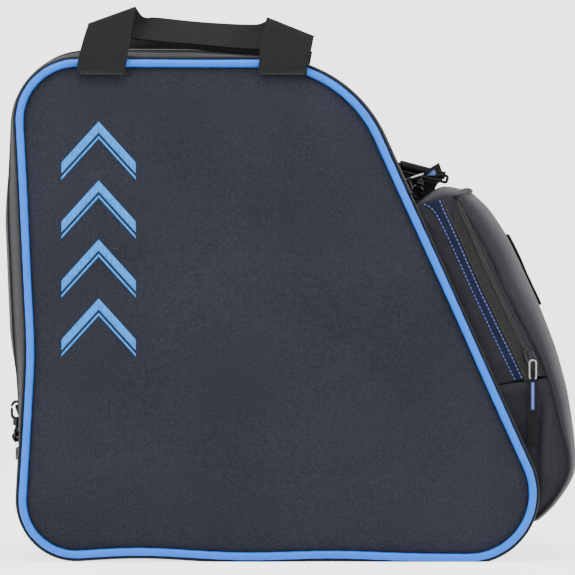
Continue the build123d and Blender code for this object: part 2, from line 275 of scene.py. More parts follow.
def woven(name, dark, light, threads=1100.0, roughness=0.75, depth=0.00025, mottle=9.0, sheen=0.05,
          gloss=0.06):
    """Cloth whose colour runs from dark, a painted shade between the threads, to light on them, over its own
    flat UV map.
    A broad noise shifts the colour and the roughness a little, as dyed cloth does, and a fine one gives the
    uneven thickness of the yarn."""
    made = material(name, light, roughness, Sheen_Weight=sheen, Sheen_Roughness=0.45, Specular_IOR_Level=gloss)
    tree = made.node_tree
    weave = grouped(tree, PLAIN_WEAVE, Threads=threads)
    broad = noise(tree, mottle, 4.0)
    spread = ranged(tree, broad, 0.3, 0.7, -MOTTLE, MOTTLE)
    grain = ranged(tree, noise(tree, SLUBS, 3.0), 0.3, 0.7, -SLUB_SHADE, SLUB_SHADE)
    # The weave's painted shade: darker between the threads.
    factor = ranged(tree, weave.outputs["Shade"], from_max=0.75)
    mixed = maths(tree, "ADD", factor, maths(tree, "ADD", spread, grain))
    mixed.node.use_clamp = True
    rough = ranged(tree, broad, to_min=roughness - 0.08, to_max=roughness + 0.08)
    tree.links.new(rough, tree.nodes["Principled BSDF"].inputs["Roughness"])
    return two_tone(made, mixed, dark, light, weave.outputs["Height"], depth, 0.8)


panel_cloth = woven("panel_cloth", (0.007, 0.008, 0.0115), (0.027, 0.030, 0.042), sheen=0.05)
lining_cloth = woven("lining_cloth", (0.008, 0.008, 0.009), (0.022, 0.022, 0.025), threads=1500, roughness=0.55)

# ---- The outline ----
# Both panels are cut to one outline: flat top and base, a slant on the right, and a left edge drawn in at
# its lower third. Straight runs meet in arcs, and the base edge is lifted a little where the cloth puckers.
PIPING_R = 3.3 * MM
TOP_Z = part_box("piping_back")[1].z - PIPING_R
CORNERS = np.array([(-0.200, TOP_Z), (0.056, TOP_Z), (0.230, PIPING_R), (-0.198, PIPING_R), (-0.189, 0.165)])
CORNER_RADII = (0.045, 0.100, 0.050, 0.045, 0.400)
PIPED_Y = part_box("piping_back")[1].y - PIPING_R
OUTLINE_STEPS = 720


def rounded_outline(count):
    """Even steps along the outline. Each corner is an arc tangent to its two runs: its centre lies on the
    bisector, and the arc starts radius times the tangent of half the turn before the corner."""
    pieces = []
    for k, corner in enumerate(CORNERS):
        before = corner - CORNERS[k - 1]
        after = CORNERS[(k + 1) % len(CORNERS)] - corner
        before, after = before / np.hypot(*before), after / np.hypot(*after)
        bend = math.atan2(before[0] * after[1] - before[1] * after[0], before @ after)
        reach = CORNER_RADII[k] * math.tan(abs(bend) / 2)
        side = np.array((-before[1], before[0])) * math.copysign(1, bend)
        centre = corner - before * reach + side * CORNER_RADII[k]
        angle = np.linspace(0, bend, 25)[:, None]
        spoke = -side * CORNER_RADII[k]
        pieces.append(centre + spoke * np.cos(angle) + np.array((-spoke[1], spoke[0])) * np.sin(angle))
    line = np.concatenate(pieces + [pieces[0][:1]])
    length = np.concatenate([[0], np.cumsum(np.hypot(*np.diff(line, axis=0).T))])
    steps = np.linspace(0, length[-1], count, endpoint=False)
    points = np.stack([np.interp(steps, length, line[:, 0]), np.interp(steps, length, line[:, 1])], 1)
    along = np.roll(points, -1, 0) - np.roll(points, 1, 0)
    along /= np.hypot(*along.T)[:, None]
    return points, np.stack([-along[:, 1], along[:, 0]], 1), steps, length[-1]


edge, edge_out, edge_run, EDGE_LENGTH = rounded_outline(OUTLINE_STEPS)


def smooth(value, low, high):
    """An S-shaped ramp from 0 at low to 1 at high."""
    t = np.clip((value - low) / (high - low), 0, 1)
    return t * t * (3 - 2 * t)


def pucker(x, y, z):
    """How far the base edge lifts: a broad hump left of the middle and a slight one at the right, fading
    out upwards and towards the back."""
    hump = 4.6 * np.exp(-((x + 0.105) / 0.060) ** 2) + 2.4 * np.exp(-((x - 0.045) / 0.05) ** 2)
    return hump * MM * (1 - smooth(z, 0.0, 0.09)) * smooth(-y, -0.02, 0.115)


# ---- Front and back panels ----
# Each is one sheet of cloth on 5 mm foam, lined inside, cut to the outline and sewn to the piping all
# round, so it crowns slightly and dips at its edge. The front one folds where the zip ends.
FOLD_LEFT = np.array((-0.190, -0.124, 0.100))
JOINTS = {joint["name"]: joint for joint in frame["joints"]}
FOLD_AXIS = JOINTS["flap_fold"]["axis"]
FOLD_UP = np.array((-FOLD_AXIS[2], 0, FOLD_AXIS[0]))
PANEL_RINGS = 90
PANEL_INSET = 2.6 * MM
PANEL_TUCK = 0.2 * MM
PANEL_CROWN = 1.6 * MM
PANEL_DIP = 2.6 * MM
PANEL_THICK = 6.0 * MM
CENTRE = np.array((-0.005, 0.19))


def panel_relief(x, z, reach):
    """How far the panel stands out: a low crown, a dip within the last 9 mm before the piping, broad soft
    undulations, and one shallow dent low on the right."""
    crown = PANEL_CROWN * (1 - reach ** 4)
    dip = PANEL_DIP * np.exp(-((1 - reach) / 0.028) ** 1.0)
    waves = 0.35 * np.sin(31 * x + 14 * z + 0.6) + 0.3 * np.sin(-19 * x + 37 * z + 2.0)
    dent = 1.3 * np.exp(-(((x - 0.180) / 0.006) ** 2 + ((z - 0.083) / 0.012) ** 2))
    return crown - dip + (waves * (1 - reach ** 3) - dent) * MM


def panel(name, side):
    """Rings of points shrunk from the outline towards the centre, each set out by the relief, and one last
    ring tucked behind the piping, where the seam is."""
    reach = 1 - np.linspace(1, 0, PANEL_RINGS) ** 1.6
    rim = edge - edge_out * PANEL_INSET
    flat = CENTRE + (rim - CENTRE)[:, None, :] * reach[None, :, None]
    stand = panel_relief(flat[..., 0], flat[..., 1], reach[None, :])
    flat = np.concatenate([flat, (edge + edge_out * PANEL_TUCK)[:, None]], 1)
    stand = np.concatenate([stand, stand[:, -1:] - 1.4 * MM], 1)
    x, z = flat[..., 0], flat[..., 1]
    depth = side * (PIPED_Y + 0.3 * MM + stand)
    lift = pucker(x, depth, z)
    points = np.stack([x, depth, z + lift], -1)
    uv = np.stack([x, z], -1)
    return surface(name, points, np.concatenate([uv, uv[:1]]), closed=True, flip=side > 0, weld=True)


def wall(piece, thickness, outside, inside):
    """Give a sheet its thickness inwards, with its own cloth outside and another inside."""
    piece.data.materials.append(outside)
    piece.data.materials.append(inside)
    solid = piece.modifiers.new("wall", "SOLIDIFY")
    solid.thickness = thickness
    solid.offset = -1
    solid.material_offset = 1
    solid.use_even_offset = False
    return piece


def fit(piece, slot, body, *cad_nodes, fold=None):
    """Hide the CAD nodes that a piece stands for, and put it on its body, on which it rides. slot is not used.
    Where a fold is given, the piece is put on no body: its place is baked into its mesh instead."""
    if cad_nodes:
        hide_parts(*cad_nodes)
    if fold:
        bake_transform(piece)
    else:
        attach(piece, body)


front_panel = wall(panel("front_cloth", -1), PANEL_THICK, panel_cloth, lining_cloth)
CAD_FRONT = ("front_panel_flap", "front_panel_lower", "front_foam_flap", "front_foam_lower")
FLAP_FOLD = (FOLD_LEFT - FOLD_UP * 9 * MM, FOLD_LEFT + FOLD_UP * 9 * MM)
fit(front_panel, "panel_fabric", "flap", *CAD_FRONT, fold=FLAP_FOLD)

back_panel = wall(panel("back_cloth", 1), PANEL_THICK, panel_cloth, lining_cloth)
fit(back_panel, "panel_fabric", "root", "back_panel", "back_foam")

# ---- Piping ----
# A round cord wrapped in bright azure satin tape and sewn into the seam round each panel. The wrap is
# drawn tight, so it shows faint diagonal tension lines and small swells where the stitches bite.
PIPING_SIDES = 20


def lengths(line):
    """How far along a line of points each one lies."""
    return np.concatenate([[0], np.cumsum(np.linalg.norm(np.diff(line, axis=0), axis=1))])


def unit(vectors):
    """Rows of vectors, each made one long."""
    return vectors / np.linalg.norm(vectors, axis=1)[:, None]


def tube(name, line, radius, sides=PIPING_SIDES, closed=False, uv_turns=1.0):
    """A round tube along a line of points: each ring is spanned by two directions square to the line.
    radius is one value or one for each point."""
    along = np.gradient(line, axis=0)
    if closed:
        along = np.roll(line, -1, 0) - np.roll(line, 1, 0)
    along = unit(along)
    up = np.where(np.abs(along[:, 1:2]) > 0.9, (1.0, 0, 0), (0, 1.0, 0))
    first = np.cross(along, up)
    first = unit(first)
    second = np.cross(along, first)
    angle = np.linspace(0, 2 * math.pi, sides + 1)[:, None]
    radius = np.broadcast_to(radius, len(line))[:, None, None]
    rings = line[:, None] + radius * (first[:, None] * np.cos(angle) + second[:, None] * np.sin(angle))
    steps = lengths(line)
    if closed:
        steps = np.append(steps, steps[-1] + np.linalg.norm(line[0] - line[-1]))
    rounds = angle[:, 0] * radius.mean() * uv_turns
    uv = np.stack(np.broadcast_arrays(steps[:, None], rounds), -1)
    return surface(name, rings, uv, closed=closed, flip=True, weld=True)


def satin_wrap(name, colour, painted_shade):
    """Satin tape drawn round a cord: fine diagonal lines in its height and colour, with painted shade in their
    low parts, flecked by a noise, and a soft gloss.
    """
    made = material(name, colour, 0.42, Specular_IOR_Level=0.25)
    tree = made.node_tree
    place = tree.nodes.new("ShaderNodeTexCoord")
    turned = node(tree, "ShaderNodeMapping", [("Vector", place.outputs["UV"]), ("Rotation", (0, 0, 0.7))])
    lines = node(tree, "ShaderNodeTexWave", [("Vector", turned.outputs[0]), ("Scale", 420.0),
                                             ("Distortion", 1.5)])
    both = maths(tree, "MULTIPLY", lines.outputs["Fac"], noise(tree, 60.0, 3.0))
    return two_tone(made, both, painted_shade, colour, both, 0.0002, 0.5)


# The second colour is painted shade, laid in the low parts of the diagonal lines.
piping_satin = satin_wrap("piping_satin", (0.001, 0.165, 0.76), (0.0, 0.105, 0.55))


def piping(name, side):
    """A tube on the outline, with swells of a few hundredths at the stitches, and a slight wander."""
    x, z = edge.T
    depth = np.full(OUTLINE_STEPS, side * PIPED_Y)
    wander = 0.35 * MM * np.sin(edge_run * 23) * np.sin(edge_run * 9 + 1)
    line = np.stack([x, depth, z + pucker(x, depth, z)], 1)
    line[:, (0, 2)] += edge_out * np.where(z > 0.02, wander, 0)[:, None]
    radius = PIPING_R * (0.93 + 0.018 * np.sin(edge_run * 410) + 0.012 * np.sin(edge_run * 57 + 2))
    made = tube(name, line, radius, closed=True)
    made.data.materials.append(piping_satin)
    return made


front_piping = piping("front_piping", -1)
fit(front_piping, "piping", "flap", "piping_front_flap", "piping_front_lower", fold=FLAP_FOLD)
back_piping = piping("back_piping", 1)
fit(back_piping, "piping", "root", "piping_back")

# ---- Gussets ----
# The wall between the panels is two lengths of the same cloth: a base length, and a zip length that fills
# out between the panels over the left side and the top. The zip divides off its front strip for the flap.
LEFT_LOW = 3.0 * MM
LEFT_SWELL = 13.0 * MM
TOP_SWELL = 10.5 * MM
SLANT_SWELL = 1.5 * MM
GUSSET_THICK = 2.6 * MM
GUSSET_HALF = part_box("zip_gusset")[1].y
SEAM_LAP = 1.8 * MM
STRIP_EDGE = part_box("zip_gusset_front_strip")[1].y
REAR_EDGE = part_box("zip_gusset")[0].y
FOLD_RIGHT_Z = 0.284
GUSSET_ROWS = 420
HEM_REACH = 1.2 * MM


def swell(x, z, out_x, out_z):
    """How far the gusset fills out midway between the panels: most on the left side and the top, falling
    away towards the right end of the top, and hardly any on the slant, the base and the lower left."""
    bulge = smooth(z, 0.10, 0.185) * (1 - smooth(z, 0.26, 0.37))
    left = np.clip(-out_x, 0, 1) * (LEFT_LOW + LEFT_SWELL * bulge)
    top = TOP_SWELL * np.clip(out_z, 0, 1) ** 2 * (1 - smooth(x, -0.075, 0.005)) * smooth(x, -0.2, -0.14)
    slant = SLANT_SWELL * np.clip(out_x, 0, 1)
    return left + top + slant


def gusset_point(run, y, lift=0.0):
    """The point of the gusset at a run along the outline and a depth: the outline, out by the piping's
    radius, the swell shaped as a flat-topped arch from panel to panel, and any lift. Past its half width the
    cloth dips in, under the piping, to its seam."""
    where = np.mod(run, EDGE_LENGTH)
    x, z, out_x, out_z = (np.interp(where, edge_run, values, period=EDGE_LENGTH)
                          for values in (*edge.T, *edge_out.T))
    norm = np.hypot(out_x, out_z)
    out_x, out_z = out_x / norm, out_z / norm
    arch = np.clip(1 - (y / GUSSET_HALF) ** 2, 0, 1) ** 0.8
    ripple = 0.5 * MM * np.sin(run * 21 + y * 9) * np.sin(run * 8 - y * 25 + 1) * arch * (z > 0.02)
    dip = 0.6 * np.maximum(np.abs(y) - GUSSET_HALF, 0)
    out = PIPING_R - 0.2 * MM + swell(x, z, out_x, out_z) * arch + ripple + lift - dip
    rise = pucker(x, y, z)
    return np.stack([x + out_x * out, y + 0 * x, np.maximum(z + out_z * out, 0.0002) + rise], -1)


def run_at(height, left):
    """The run along the outline where it crosses a height, on the left side or on the slant."""
    side = edge[:, 0] < 0 if left else edge[:, 0] > 0
    return edge_run[side][np.argmin(np.abs(edge[side, 1] - height))]


RUN_LEFT = run_at(FOLD_LEFT[2], True) - EDGE_LENGTH
RUN_RIGHT = run_at(FOLD_RIGHT_Z, False)


gusset_cloth = woven("gusset_cloth", (0.005, 0.0052, 0.007), (0.018, 0.0195, 0.026), roughness=0.75, sheen=0.03)


def gusset(name, run0, run1, y0, y1, cols, hem=0.0):
    """A length of the gusset between two runs and two depths, turned under at its zip edge by hem."""
    run, y = np.meshgrid(np.linspace(run0, run1, GUSSET_ROWS), np.linspace(y0, y1, cols), indexing="ij")
    from_zip = y1 - y if hem > 0 else y - y0
    lift = np.abs(hem) * np.exp(-from_zip / HEM_REACH)
    made = surface(name, gusset_point(run, y, lift), np.stack([run, y], -1), flip=True)
    return wall(made, GUSSET_THICK, gusset_cloth, lining_cloth)


HEM = 1.0 * MM
SEAM_Y = GUSSET_HALF + SEAM_LAP
STRIP_GAP = 0.4 * MM
base_gusset = gusset("base_band", RUN_RIGHT, RUN_LEFT + EDGE_LENGTH, -SEAM_Y, SEAM_Y, 62)
zip_gusset = gusset("zip_band", RUN_LEFT, RUN_RIGHT, REAR_EDGE, SEAM_Y, 55, -HEM)
front_strip = gusset("front_strip", RUN_LEFT + STRIP_GAP, RUN_RIGHT - STRIP_GAP, -SEAM_Y, STRIP_EDGE, 17, HEM)
for piece, cad_node, body in ((base_gusset, "base_gusset", "root"), (zip_gusset, "zip_gusset", "root"),
                              (front_strip, "zip_gusset_front_strip", "flap")):
    fit(piece, "gusset_fabric", body, cad_node, fold=FLAP_FOLD if body == "flap" else None)

# ---- Main zip ----
# Two knitted tapes, one on each side, each with a nylon coil sewn along its edge. The loops of one coil
# sit between those of the other, so each side's loops are half a pitch out of step.
COIL_PITCH = 2.2 * MM
COIL_SIZE = (0.85 * MM, 0.55 * MM)
zip_tape = woven("zip_tape", (0.006, 0.006, 0.007), (0.016, 0.016, 0.018), threads=1900, roughness=0.8,
                 sheen=0.1)
coil_nylon = material("coil_nylon", (0.018, 0.017, 0.017), 0.38)


def bars(name, grid, finish):
    """One mesh of many small closed bars, given as points: bars by rings by sides by 3."""
    count, rings, sides = grid.shape[:3]
    ring, corner = np.meshgrid(np.arange(rings - 1), np.arange(sides), indexing="ij")
    ring, corner = ring.ravel(), corner.ravel()
    following = (corner + 1) % sides
    quad = np.stack([ring * sides + corner, ring * sides + following, (ring + 1) * sides + following,
                     (ring + 1) * sides + corner], 1)
    offset = np.arange(count)[:, None, None] * rings * sides
    faces = (offset + quad).reshape(-1, 4).tolist()
    caps = np.array([np.arange(sides)[::-1], np.arange(sides) + (rings - 1) * sides])
    faces += (offset + caps).reshape(-1, sides).tolist()
    mesh = bpy.data.meshes.new(name)
    mesh.from_pydata(grid.reshape(-1, 3).tolist(), [], faces)
    mesh.polygons.foreach_set("use_smooth", np.ones(len(faces), bool))
    mend(mesh, weld=False)
    return shown(name, mesh, finish)


def coil(name, points, sideways, up, size, pitch, phase=0.0):
    """Loops of nylon at an even pitch along points: each is a small rounded bar lying across the line,
    its section an ellipse of six corners, and its ends drawn in."""
    length = lengths(points)
    steps = np.arange(phase * pitch + pitch / 2, length[-1], pitch)
    pick = [np.stack([np.interp(steps, length, values[:, k]) for k in range(3)], 1)
            for values in (points, sideways, up)]
    middle, side, top = pick
    along = np.cross(side, top)
    reach = np.array([-1.0, -0.85, 0.85, 1.0])
    girth = np.array([0.45, 1.0, 1.0, 0.45])
    angle = np.arange(6) * math.pi / 3
    wide, high = pitch * 0.36 * np.cos(angle), size[1] * np.sin(angle)
    loops = (middle[:, None, None] + side[:, None, None] * (reach * size[0])[None, :, None, None]
             + along[:, None, None] * (girth[:, None] * wide)[None, ..., None]
             + top[:, None, None] * (girth[:, None] * high)[None, ..., None])
    return bars(name, loops, coil_nylon)


ZIP_MIDDLE = (STRIP_EDGE + REAR_EDGE) / 2
zip_run = np.linspace(RUN_LEFT + STRIP_GAP, RUN_RIGHT - STRIP_GAP, GUSSET_ROWS)
for name, y0, y1, body, phase in (("front", STRIP_EDGE - 1.5 * MM, ZIP_MIDDLE - 0.3 * MM, "flap", 0),
                                  ("rear", ZIP_MIDDLE + 0.3 * MM, REAR_EDGE + 1.5 * MM, "root", 0.5)):
    run, y = np.meshgrid(zip_run, np.linspace(y0, y1, 6), indexing="ij")
    tape = surface("main_tape_" + name, gusset_point(run, y, -0.6 * MM), np.stack([run, y], -1), flip=True)
    wall(tape, 0.7 * MM, zip_tape, zip_tape)
    fold = FLAP_FOLD if body == "flap" else None
    fit(tape, "zip_tape", body, "main_zip_tape_" + name, fold=fold)
    centre_y = ZIP_MIDDLE + (1.0 if name == "rear" else -1.0) * 1.15 * MM
    line = gusset_point(zip_run, np.full(len(zip_run), centre_y), -0.1 * MM)
    above = gusset_point(zip_run, np.full(len(zip_run), centre_y), 0.9 * MM)
    sideways = np.tile((0.0, 1.0, 0.0), (len(zip_run), 1))
    teeth = coil("main_coil_" + name, line, sideways, unit(above - line), COIL_SIZE, COIL_PITCH, phase)
    fit(teeth, "zip_coil", body, "main_zip_coil_" + name, fold=fold)

# ---- Carry handles ----
# Each is one strip of 38 mm polypropylene webbing. It is sewn to the panel just under the piping, rises,
# folds over on the slant, runs across as the grip, and folds down again to its other sewn end.
WEB_THICK = 1.7 * MM
WEB_WIDE = 0.038
GROOVE_POWER = 0.12


def webbing_group():
    """Webbing's height: rows of short floats along its length, set in a herringbone by shifting each row
    with a zigzag of its place across the width, and a thin groove between the herringbone's columns."""
    group, start, end = new_group("webbing_weave", ("Pitch", "Column"), ("Height",))
    parts = node(group, "ShaderNodeSeparateXYZ", [(0, start.outputs["Vector"])])
    zigzag = maths(group, "PINGPONG", parts.outputs["Y"], start.outputs["Column"])
    row = maths(group, "DIVIDE", maths(group, "ADD", parts.outputs["X"], zigzag), start.outputs["Pitch"])
    wave = maths(group, "SINE", maths(group, "MULTIPLY", row, math.pi))
    groove = maths(group, "POWER", maths(group, "DIVIDE", zigzag, start.outputs["Column"]), GROOVE_POWER)
    both = maths(group, "MULTIPLY", maths(group, "ABSOLUTE", wave), groove)
    group.links.new(both, end.inputs["Height"])
    return group


WEBBING_WEAVE = webbing_group()


def webbing(name, dark, light, pitch=0.0013, column=0.0014, roughness=0.62):
    """Ribbed webbing: the herringbone sets both its bump and its colour, which is darker in the grooves as
    painted shade, flecked by a fine noise.
    """
    made = material(name, light, roughness, Sheen_Weight=0.02, Sheen_Roughness=0.5, Specular_IOR_Level=0.06)
    tree = made.node_tree
    height = grouped(tree, WEBBING_WEAVE, Pitch=pitch, Column=column).outputs["Height"]
    fuzzy = maths(tree, "MULTIPLY", height, noise(tree, 900.0))
    # Painted shade: the colour follows the height, darker in the grooves.
    return two_tone(made, ranged(tree, fuzzy, from_max=0.6), dark, light, height, 0.0005)


black_webbing = webbing("black_webbing", (0.004, 0.004, 0.0045), (0.020, 0.0205, 0.0225))


def smooth_line(points, count):
    """A Catmull-Rom curve through points, which may have any number of values each: on each span the four
    nearest points are weighed by its cubic, so the curve passes through every point without a corner."""
    points = np.asarray(points, float)
    padded = np.concatenate([[2 * points[0] - points[1]], points, [2 * points[-1] - points[-2]]])
    place = np.linspace(0, len(points) - 1, count)
    span = np.minimum(place.astype(int), len(points) - 2)
    t = (place - span)[:, None]
    a, b, c, d = (padded[span + k] for k in range(4))
    return 0.5 * (2 * b + (c - a) * t + (2 * a - 5 * b + 4 * c - d) * t ** 2 + (3 * b - a - 3 * c + d) * t ** 3)


def ribbon(name, left, right, cloth=black_webbing, thick=WEB_THICK, cols=14, wide=WEB_WIDE):
    """Webbing between two edge lines that match point for point: rows straight from edge to edge, a wall
    of its thickness to both sides, and rounded selvedges."""
    share = np.linspace(0, 1, cols)[None, :, None]
    points = left[:, None] * (1 - share) + right[:, None] * share
    middle = (left + right) / 2
    run = lengths(middle)
    uv = np.stack(np.broadcast_arrays(run[:, None], np.linspace(0, wide, cols)), -1)
    made = surface(name, points, uv)
    made.data.materials.append(cloth)
    solid = made.modifiers.new("thickness", "SOLIDIFY")
    solid.thickness = thick
    solid.offset = 0
    bevel = made.modifiers.new("selvedge", "BEVEL")
    bevel.width = thick * 0.3
    bevel.segments = 2
    bevel.limit_method = "ANGLE"
    bevel.angle_limit = math.radians(50)
    return made


LEG_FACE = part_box("front_handle_ends")[0].y + WEB_THICK / 2
LEG_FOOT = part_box("front_handle_ends")[0].z
# Edge lines of the strip, as X, depth behind the leg's face, and Z: first the edge that starts as the
# left leg's outer edge, then the one that starts as its inner edge.
OUTER_EDGE = np.array([
    (-153, 0.0, 0), (-152.5, -0.8, 8), (-149.5, -0.4, 22), (-144.5, 1.2, 38), (-142.0, 4.5, 38.5),
    (-121, 6.0, 32), (-98, 6.5, 27.5), (-58, 7.0, 24), (-16, 6.5, 20.5), (8, 6.0, 22), (29.5, 4.5, 29.0),
    (31.5, 1.2, 28.5), (28.8, -0.4, 15), (26.8, -0.8, 7), (26.5, 0.0, 0)])
INNER_EDGE = np.array([
    (-115, 0.0, 0), (-114.5, -0.8, 8), (-111.5, 0.2, 26), (-107.5, 2.4, 51), (-106.0, 6.5, 51.5),
    (-101, 13, 46), (-92, 24, 46), (-56, 28, 42.5), (-20, 26, 40.5), (-9, 15, 41.5), (-4.5, 6.5, 43.5),
    (-5.5, 2.4, 43), (-9.6, 0.2, 22), (-11.2, -0.8, 7), (-11.5, 0.0, 0)])


def handle_edge(line, side):
    """An edge line in metres, for the front handle (side -1) or the back one (side 1)."""
    x, back, up = line.T * MM
    return np.stack([x, side * (-LEG_FACE - back), LEG_FOOT + up], 1)


def stitches(name, lines, pitch, thread, size=0.00035, gap=0.3, out=(0, -1, 0)):
    """Threads along lines of points: each stitch is a spindle of five rings, whose girth is the sine of its
    place along its length, leaving a gap to the next."""
    out = np.array(out, float)
    rings, sides = 5, 6
    every = []
    for line in lines:
        line = np.asarray(line, float)
        length = lengths(line)
        starts = np.arange(0, length[-1] - pitch * 0.5, pitch)
        place = starts[:, None] + np.linspace(0, pitch * (1 - gap), rings)
        spine = np.stack([np.interp(place, length, line[:, k]) for k in range(3)], -1)
        along = spine[:, -1] - spine[:, 0]
        along = unit(along)
        side = np.cross(along, out)
        girth = size * np.sin(np.linspace(0.25, math.pi - 0.25, rings))
        angle = np.arange(sides) * 2 * math.pi / sides
        ring = (side[:, None, None] * np.cos(angle)[None, None, :, None]
                + out[None, None, None] * np.sin(angle)[None, None, :, None])
        lift = out * (size * 0.3 * np.sin(np.linspace(0, math.pi, rings)))[:, None]
        every.append((spine + lift)[:, :, None] + ring * girth[None, :, None, None])
    return bars(name, np.concatenate(every), thread)


def thread(name, colour, roughness=0.45):
    """Twisted thread: a fine diagonal ply in its bump, with a slight variation of tone."""
    made = material(name, colour, roughness, Sheen_Weight=0.2)
    ply = noise(made.node_tree, 2500.0)
    return two_tone(made, ply, tuple(c * 0.55 for c in colour), colour, ply, 0.0001)


black_thread = thread("black_thread", (0.013, 0.013, 0.015))
SEWN_HALF = 16.5 * MM
for name, side, base in (("front", -1, "flap"), ("back", 1, "root")):
    body = name + "_handle"
    edges = [smooth_line(handle_edge(line, side), 200) for line in (OUTER_EDGE, INNER_EDGE)]
    handle = ribbon(body + "_web", *edges)
    if side < 0:
        handle.data.flip_normals()
    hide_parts(body, name + "_handle_ends")
    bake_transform(handle)
    sewn_y = side * (-LEG_FACE + 0.95 * MM)
    rows = [[(leg + way * SEWN_HALF, sewn_y, LEG_FOOT + level * MM) for way in (-1, 1)]
            for leg in (-0.134, 0.0075) for level in (1.3, 3.0)]
    sewn = stitches(name + "_handle_stitches", rows, 2.4 * MM, black_thread, out=(0, side, 0))
    fit(sewn, "webbing", base)

# ---- Embroidered mountains ----
# Chevrons in azure satin stitch, worked straight onto the flap's cloth: a broad stripe over a thin one for
# each peak. The stitches run up the stripe and crown over a padding of thread.
PEAKS = 4
PEAK_LOW = 0.160
PEAK_STEP = 0.046
PEAK_MIDDLE = -0.136
PEAK_HALF = 0.029
PEAK_RISE = 0.032
EMBLEM_CROWN = 0.9 * MM


def panel_reach(x, z):
    """How far a point lies from the panel's centre, as a share of the way to its rim in that direction."""
    rim = edge - edge_out * PANEL_INSET - CENTRE
    order = np.argsort(np.arctan2(rim[:, 1], rim[:, 0]))
    angle, far = np.arctan2(rim[:, 1], rim[:, 0])[order], np.hypot(*rim.T)[order]
    off_x, off_z = x - CENTRE[0], z - CENTRE[1]
    return np.hypot(off_x, off_z) / np.interp(np.arctan2(off_z, off_x), angle, far, period=2 * math.pi)


def on_front(x, z, out):
    """The point of the front panel's face at x and z, stood out from it."""
    stand = panel_relief(x, z, panel_reach(x, z))
    return np.stack([x, -(PIPED_Y + 0.3 * MM + stand + out), z], -1)


def satin_stitch(name, colour, painted_shade):
    """Parallel threads 0.5 mm apart, across a stripe: ridges in the bump, painted shade in the gap between
    them, flecked by a noise, and a strong soft gloss."""
    made = material(name, colour, 0.45, Specular_IOR_Level=0.3)
    tree = made.node_tree
    place = tree.nodes.new("ShaderNodeTexCoord")
    wave = node(tree, "ShaderNodeTexWave", [("Vector", place.outputs["UV"]), ("Scale", 310.0),
                                            ("Distortion", 0.6), ("Detail", 1.0)])
    lines = wave.outputs["Fac"]
    both = maths(tree, "MULTIPLY", lines, noise(tree, 300.0))
    return two_tone(made, ranged(tree, both, from_max=0.5), painted_shade, colour, lines, 0.0002)


# The second colour is the painted shade between the threads.
emblem_thread = satin_stitch("emblem_thread", (0.006, 0.27, 0.78), (0.001, 0.085, 0.36))
for peak in range(PEAKS):
    for stripe, low, high in (("broad", 4.5, 14.0), ("thin", 0.0, 2.6)):
        x = np.linspace(-PEAK_HALF, PEAK_HALF, 117)[:, None]
        share = np.linspace(0, 1, 13)[None, :]
        base = PEAK_LOW + peak * PEAK_STEP + PEAK_RISE * (1 - np.abs(x) / PEAK_HALF)
        z = base + (low + (high - low) * share) * MM
        end = smooth(PEAK_HALF - np.abs(x), -0.5 * MM, 1.2 * MM)
        crown = EMBLEM_CROWN * np.sqrt(np.clip(1 - (2 * share - 1) ** 2, 0, 1)) * (0.35 + 0.65 * end)
        ridge = 0.08 * MM * np.sin(x / MM * 2 * math.pi / 1.0)
        points = on_front(x + PEAK_MIDDLE + 0 * share, z, crown + ridge - 0.25 * MM)
        uv = np.stack([x + 0 * share, z], -1)
        mark = surface(f"peak_{stripe}_{peak}", points, uv)
        mark.data.materials.append(emblem_thread)
        solid = mark.modifiers.new("backing", "SOLIDIFY")
        solid.thickness = 0.4 * MM
        fit(mark, "emblem_thread", "flap", "front_emblem")

# ---- Pocket ----
# A box of softer, glossier nylon on the slant. Its side walls are sewn to the slant, and its face is
# one crowned panel, joined to the walls at a cord-stiffened seam. A zip runs down the front wall, over the
# top and down the back wall, so that the upper face folds outwards about the cross seam.
POCKET_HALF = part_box("pocket_side_back")[1].y
FACE_POWER = 2.3
POCKET_THICK = 1.6 * MM
WALL_PUFF = 2.0 * MM
STIFF_FROM = 0.66
pocket_cloth = woven("pocket_cloth", (0.006, 0.006, 0.008), (0.024, 0.025, 0.032), threads=1700, roughness=0.50,
                     depth=0.00016, sheen=0.02, gloss=0.12)
# The seam where the face meets the walls, and the face's own line at its middle, as matching X and Z.
SEAM_LINE = np.array([
    (144, 286), (155.8, 266.6), (166.6, 248), (175.2, 231.6), (180.5, 217.5), (194, 192), (206.5, 168),
    (214, 150), (219.8, 132), (225.3, 109.5), (231.8, 83), (231, 66.5), (220.5, 47.5), (209.5, 35.5),
    (205, 32.5)]) * MM
MIDDLE_LINE = np.array([
    (157.3, 291.8), (172.4, 277.8), (186.5, 257), (196, 238.5), (202.6, 223.2), (215, 196.5), (224.6, 171.5),
    (231, 148.8), (236, 129), (239.6, 106.5), (241.4, 79), (238.4, 62), (225.6, 42.6), (212.8, 30.4),
    (207, 27.6)]) * MM
ZIP_LINE = np.array([(143.5, 285.5), (157, 254.5), (168.5, 228), (186.4, 190.3), (201, 160), (208, 144)]) * MM
SLANT_LINE = np.array([(106, 277), (120.5, 252), (132.5, 227), (148.5, 191), (162, 160), (172.8, 137)]) * MM
TOP_EDGE = np.array([(104, 275), (112, 278.2), (119.5, 280), (131.8, 282.7), (144, 286)]) * MM
TOP_MIDDLE = np.array([(104, 275.5), (114, 280.5), (125, 289.5), (137, 295.4), (157.3, 291.8)]) * MM


def line_at(line, height):
    """The X of a line of X and Z at a height; its heights fall from the first point to the last."""
    return np.interp(height, line[::-1, 1], line[::-1, 0])


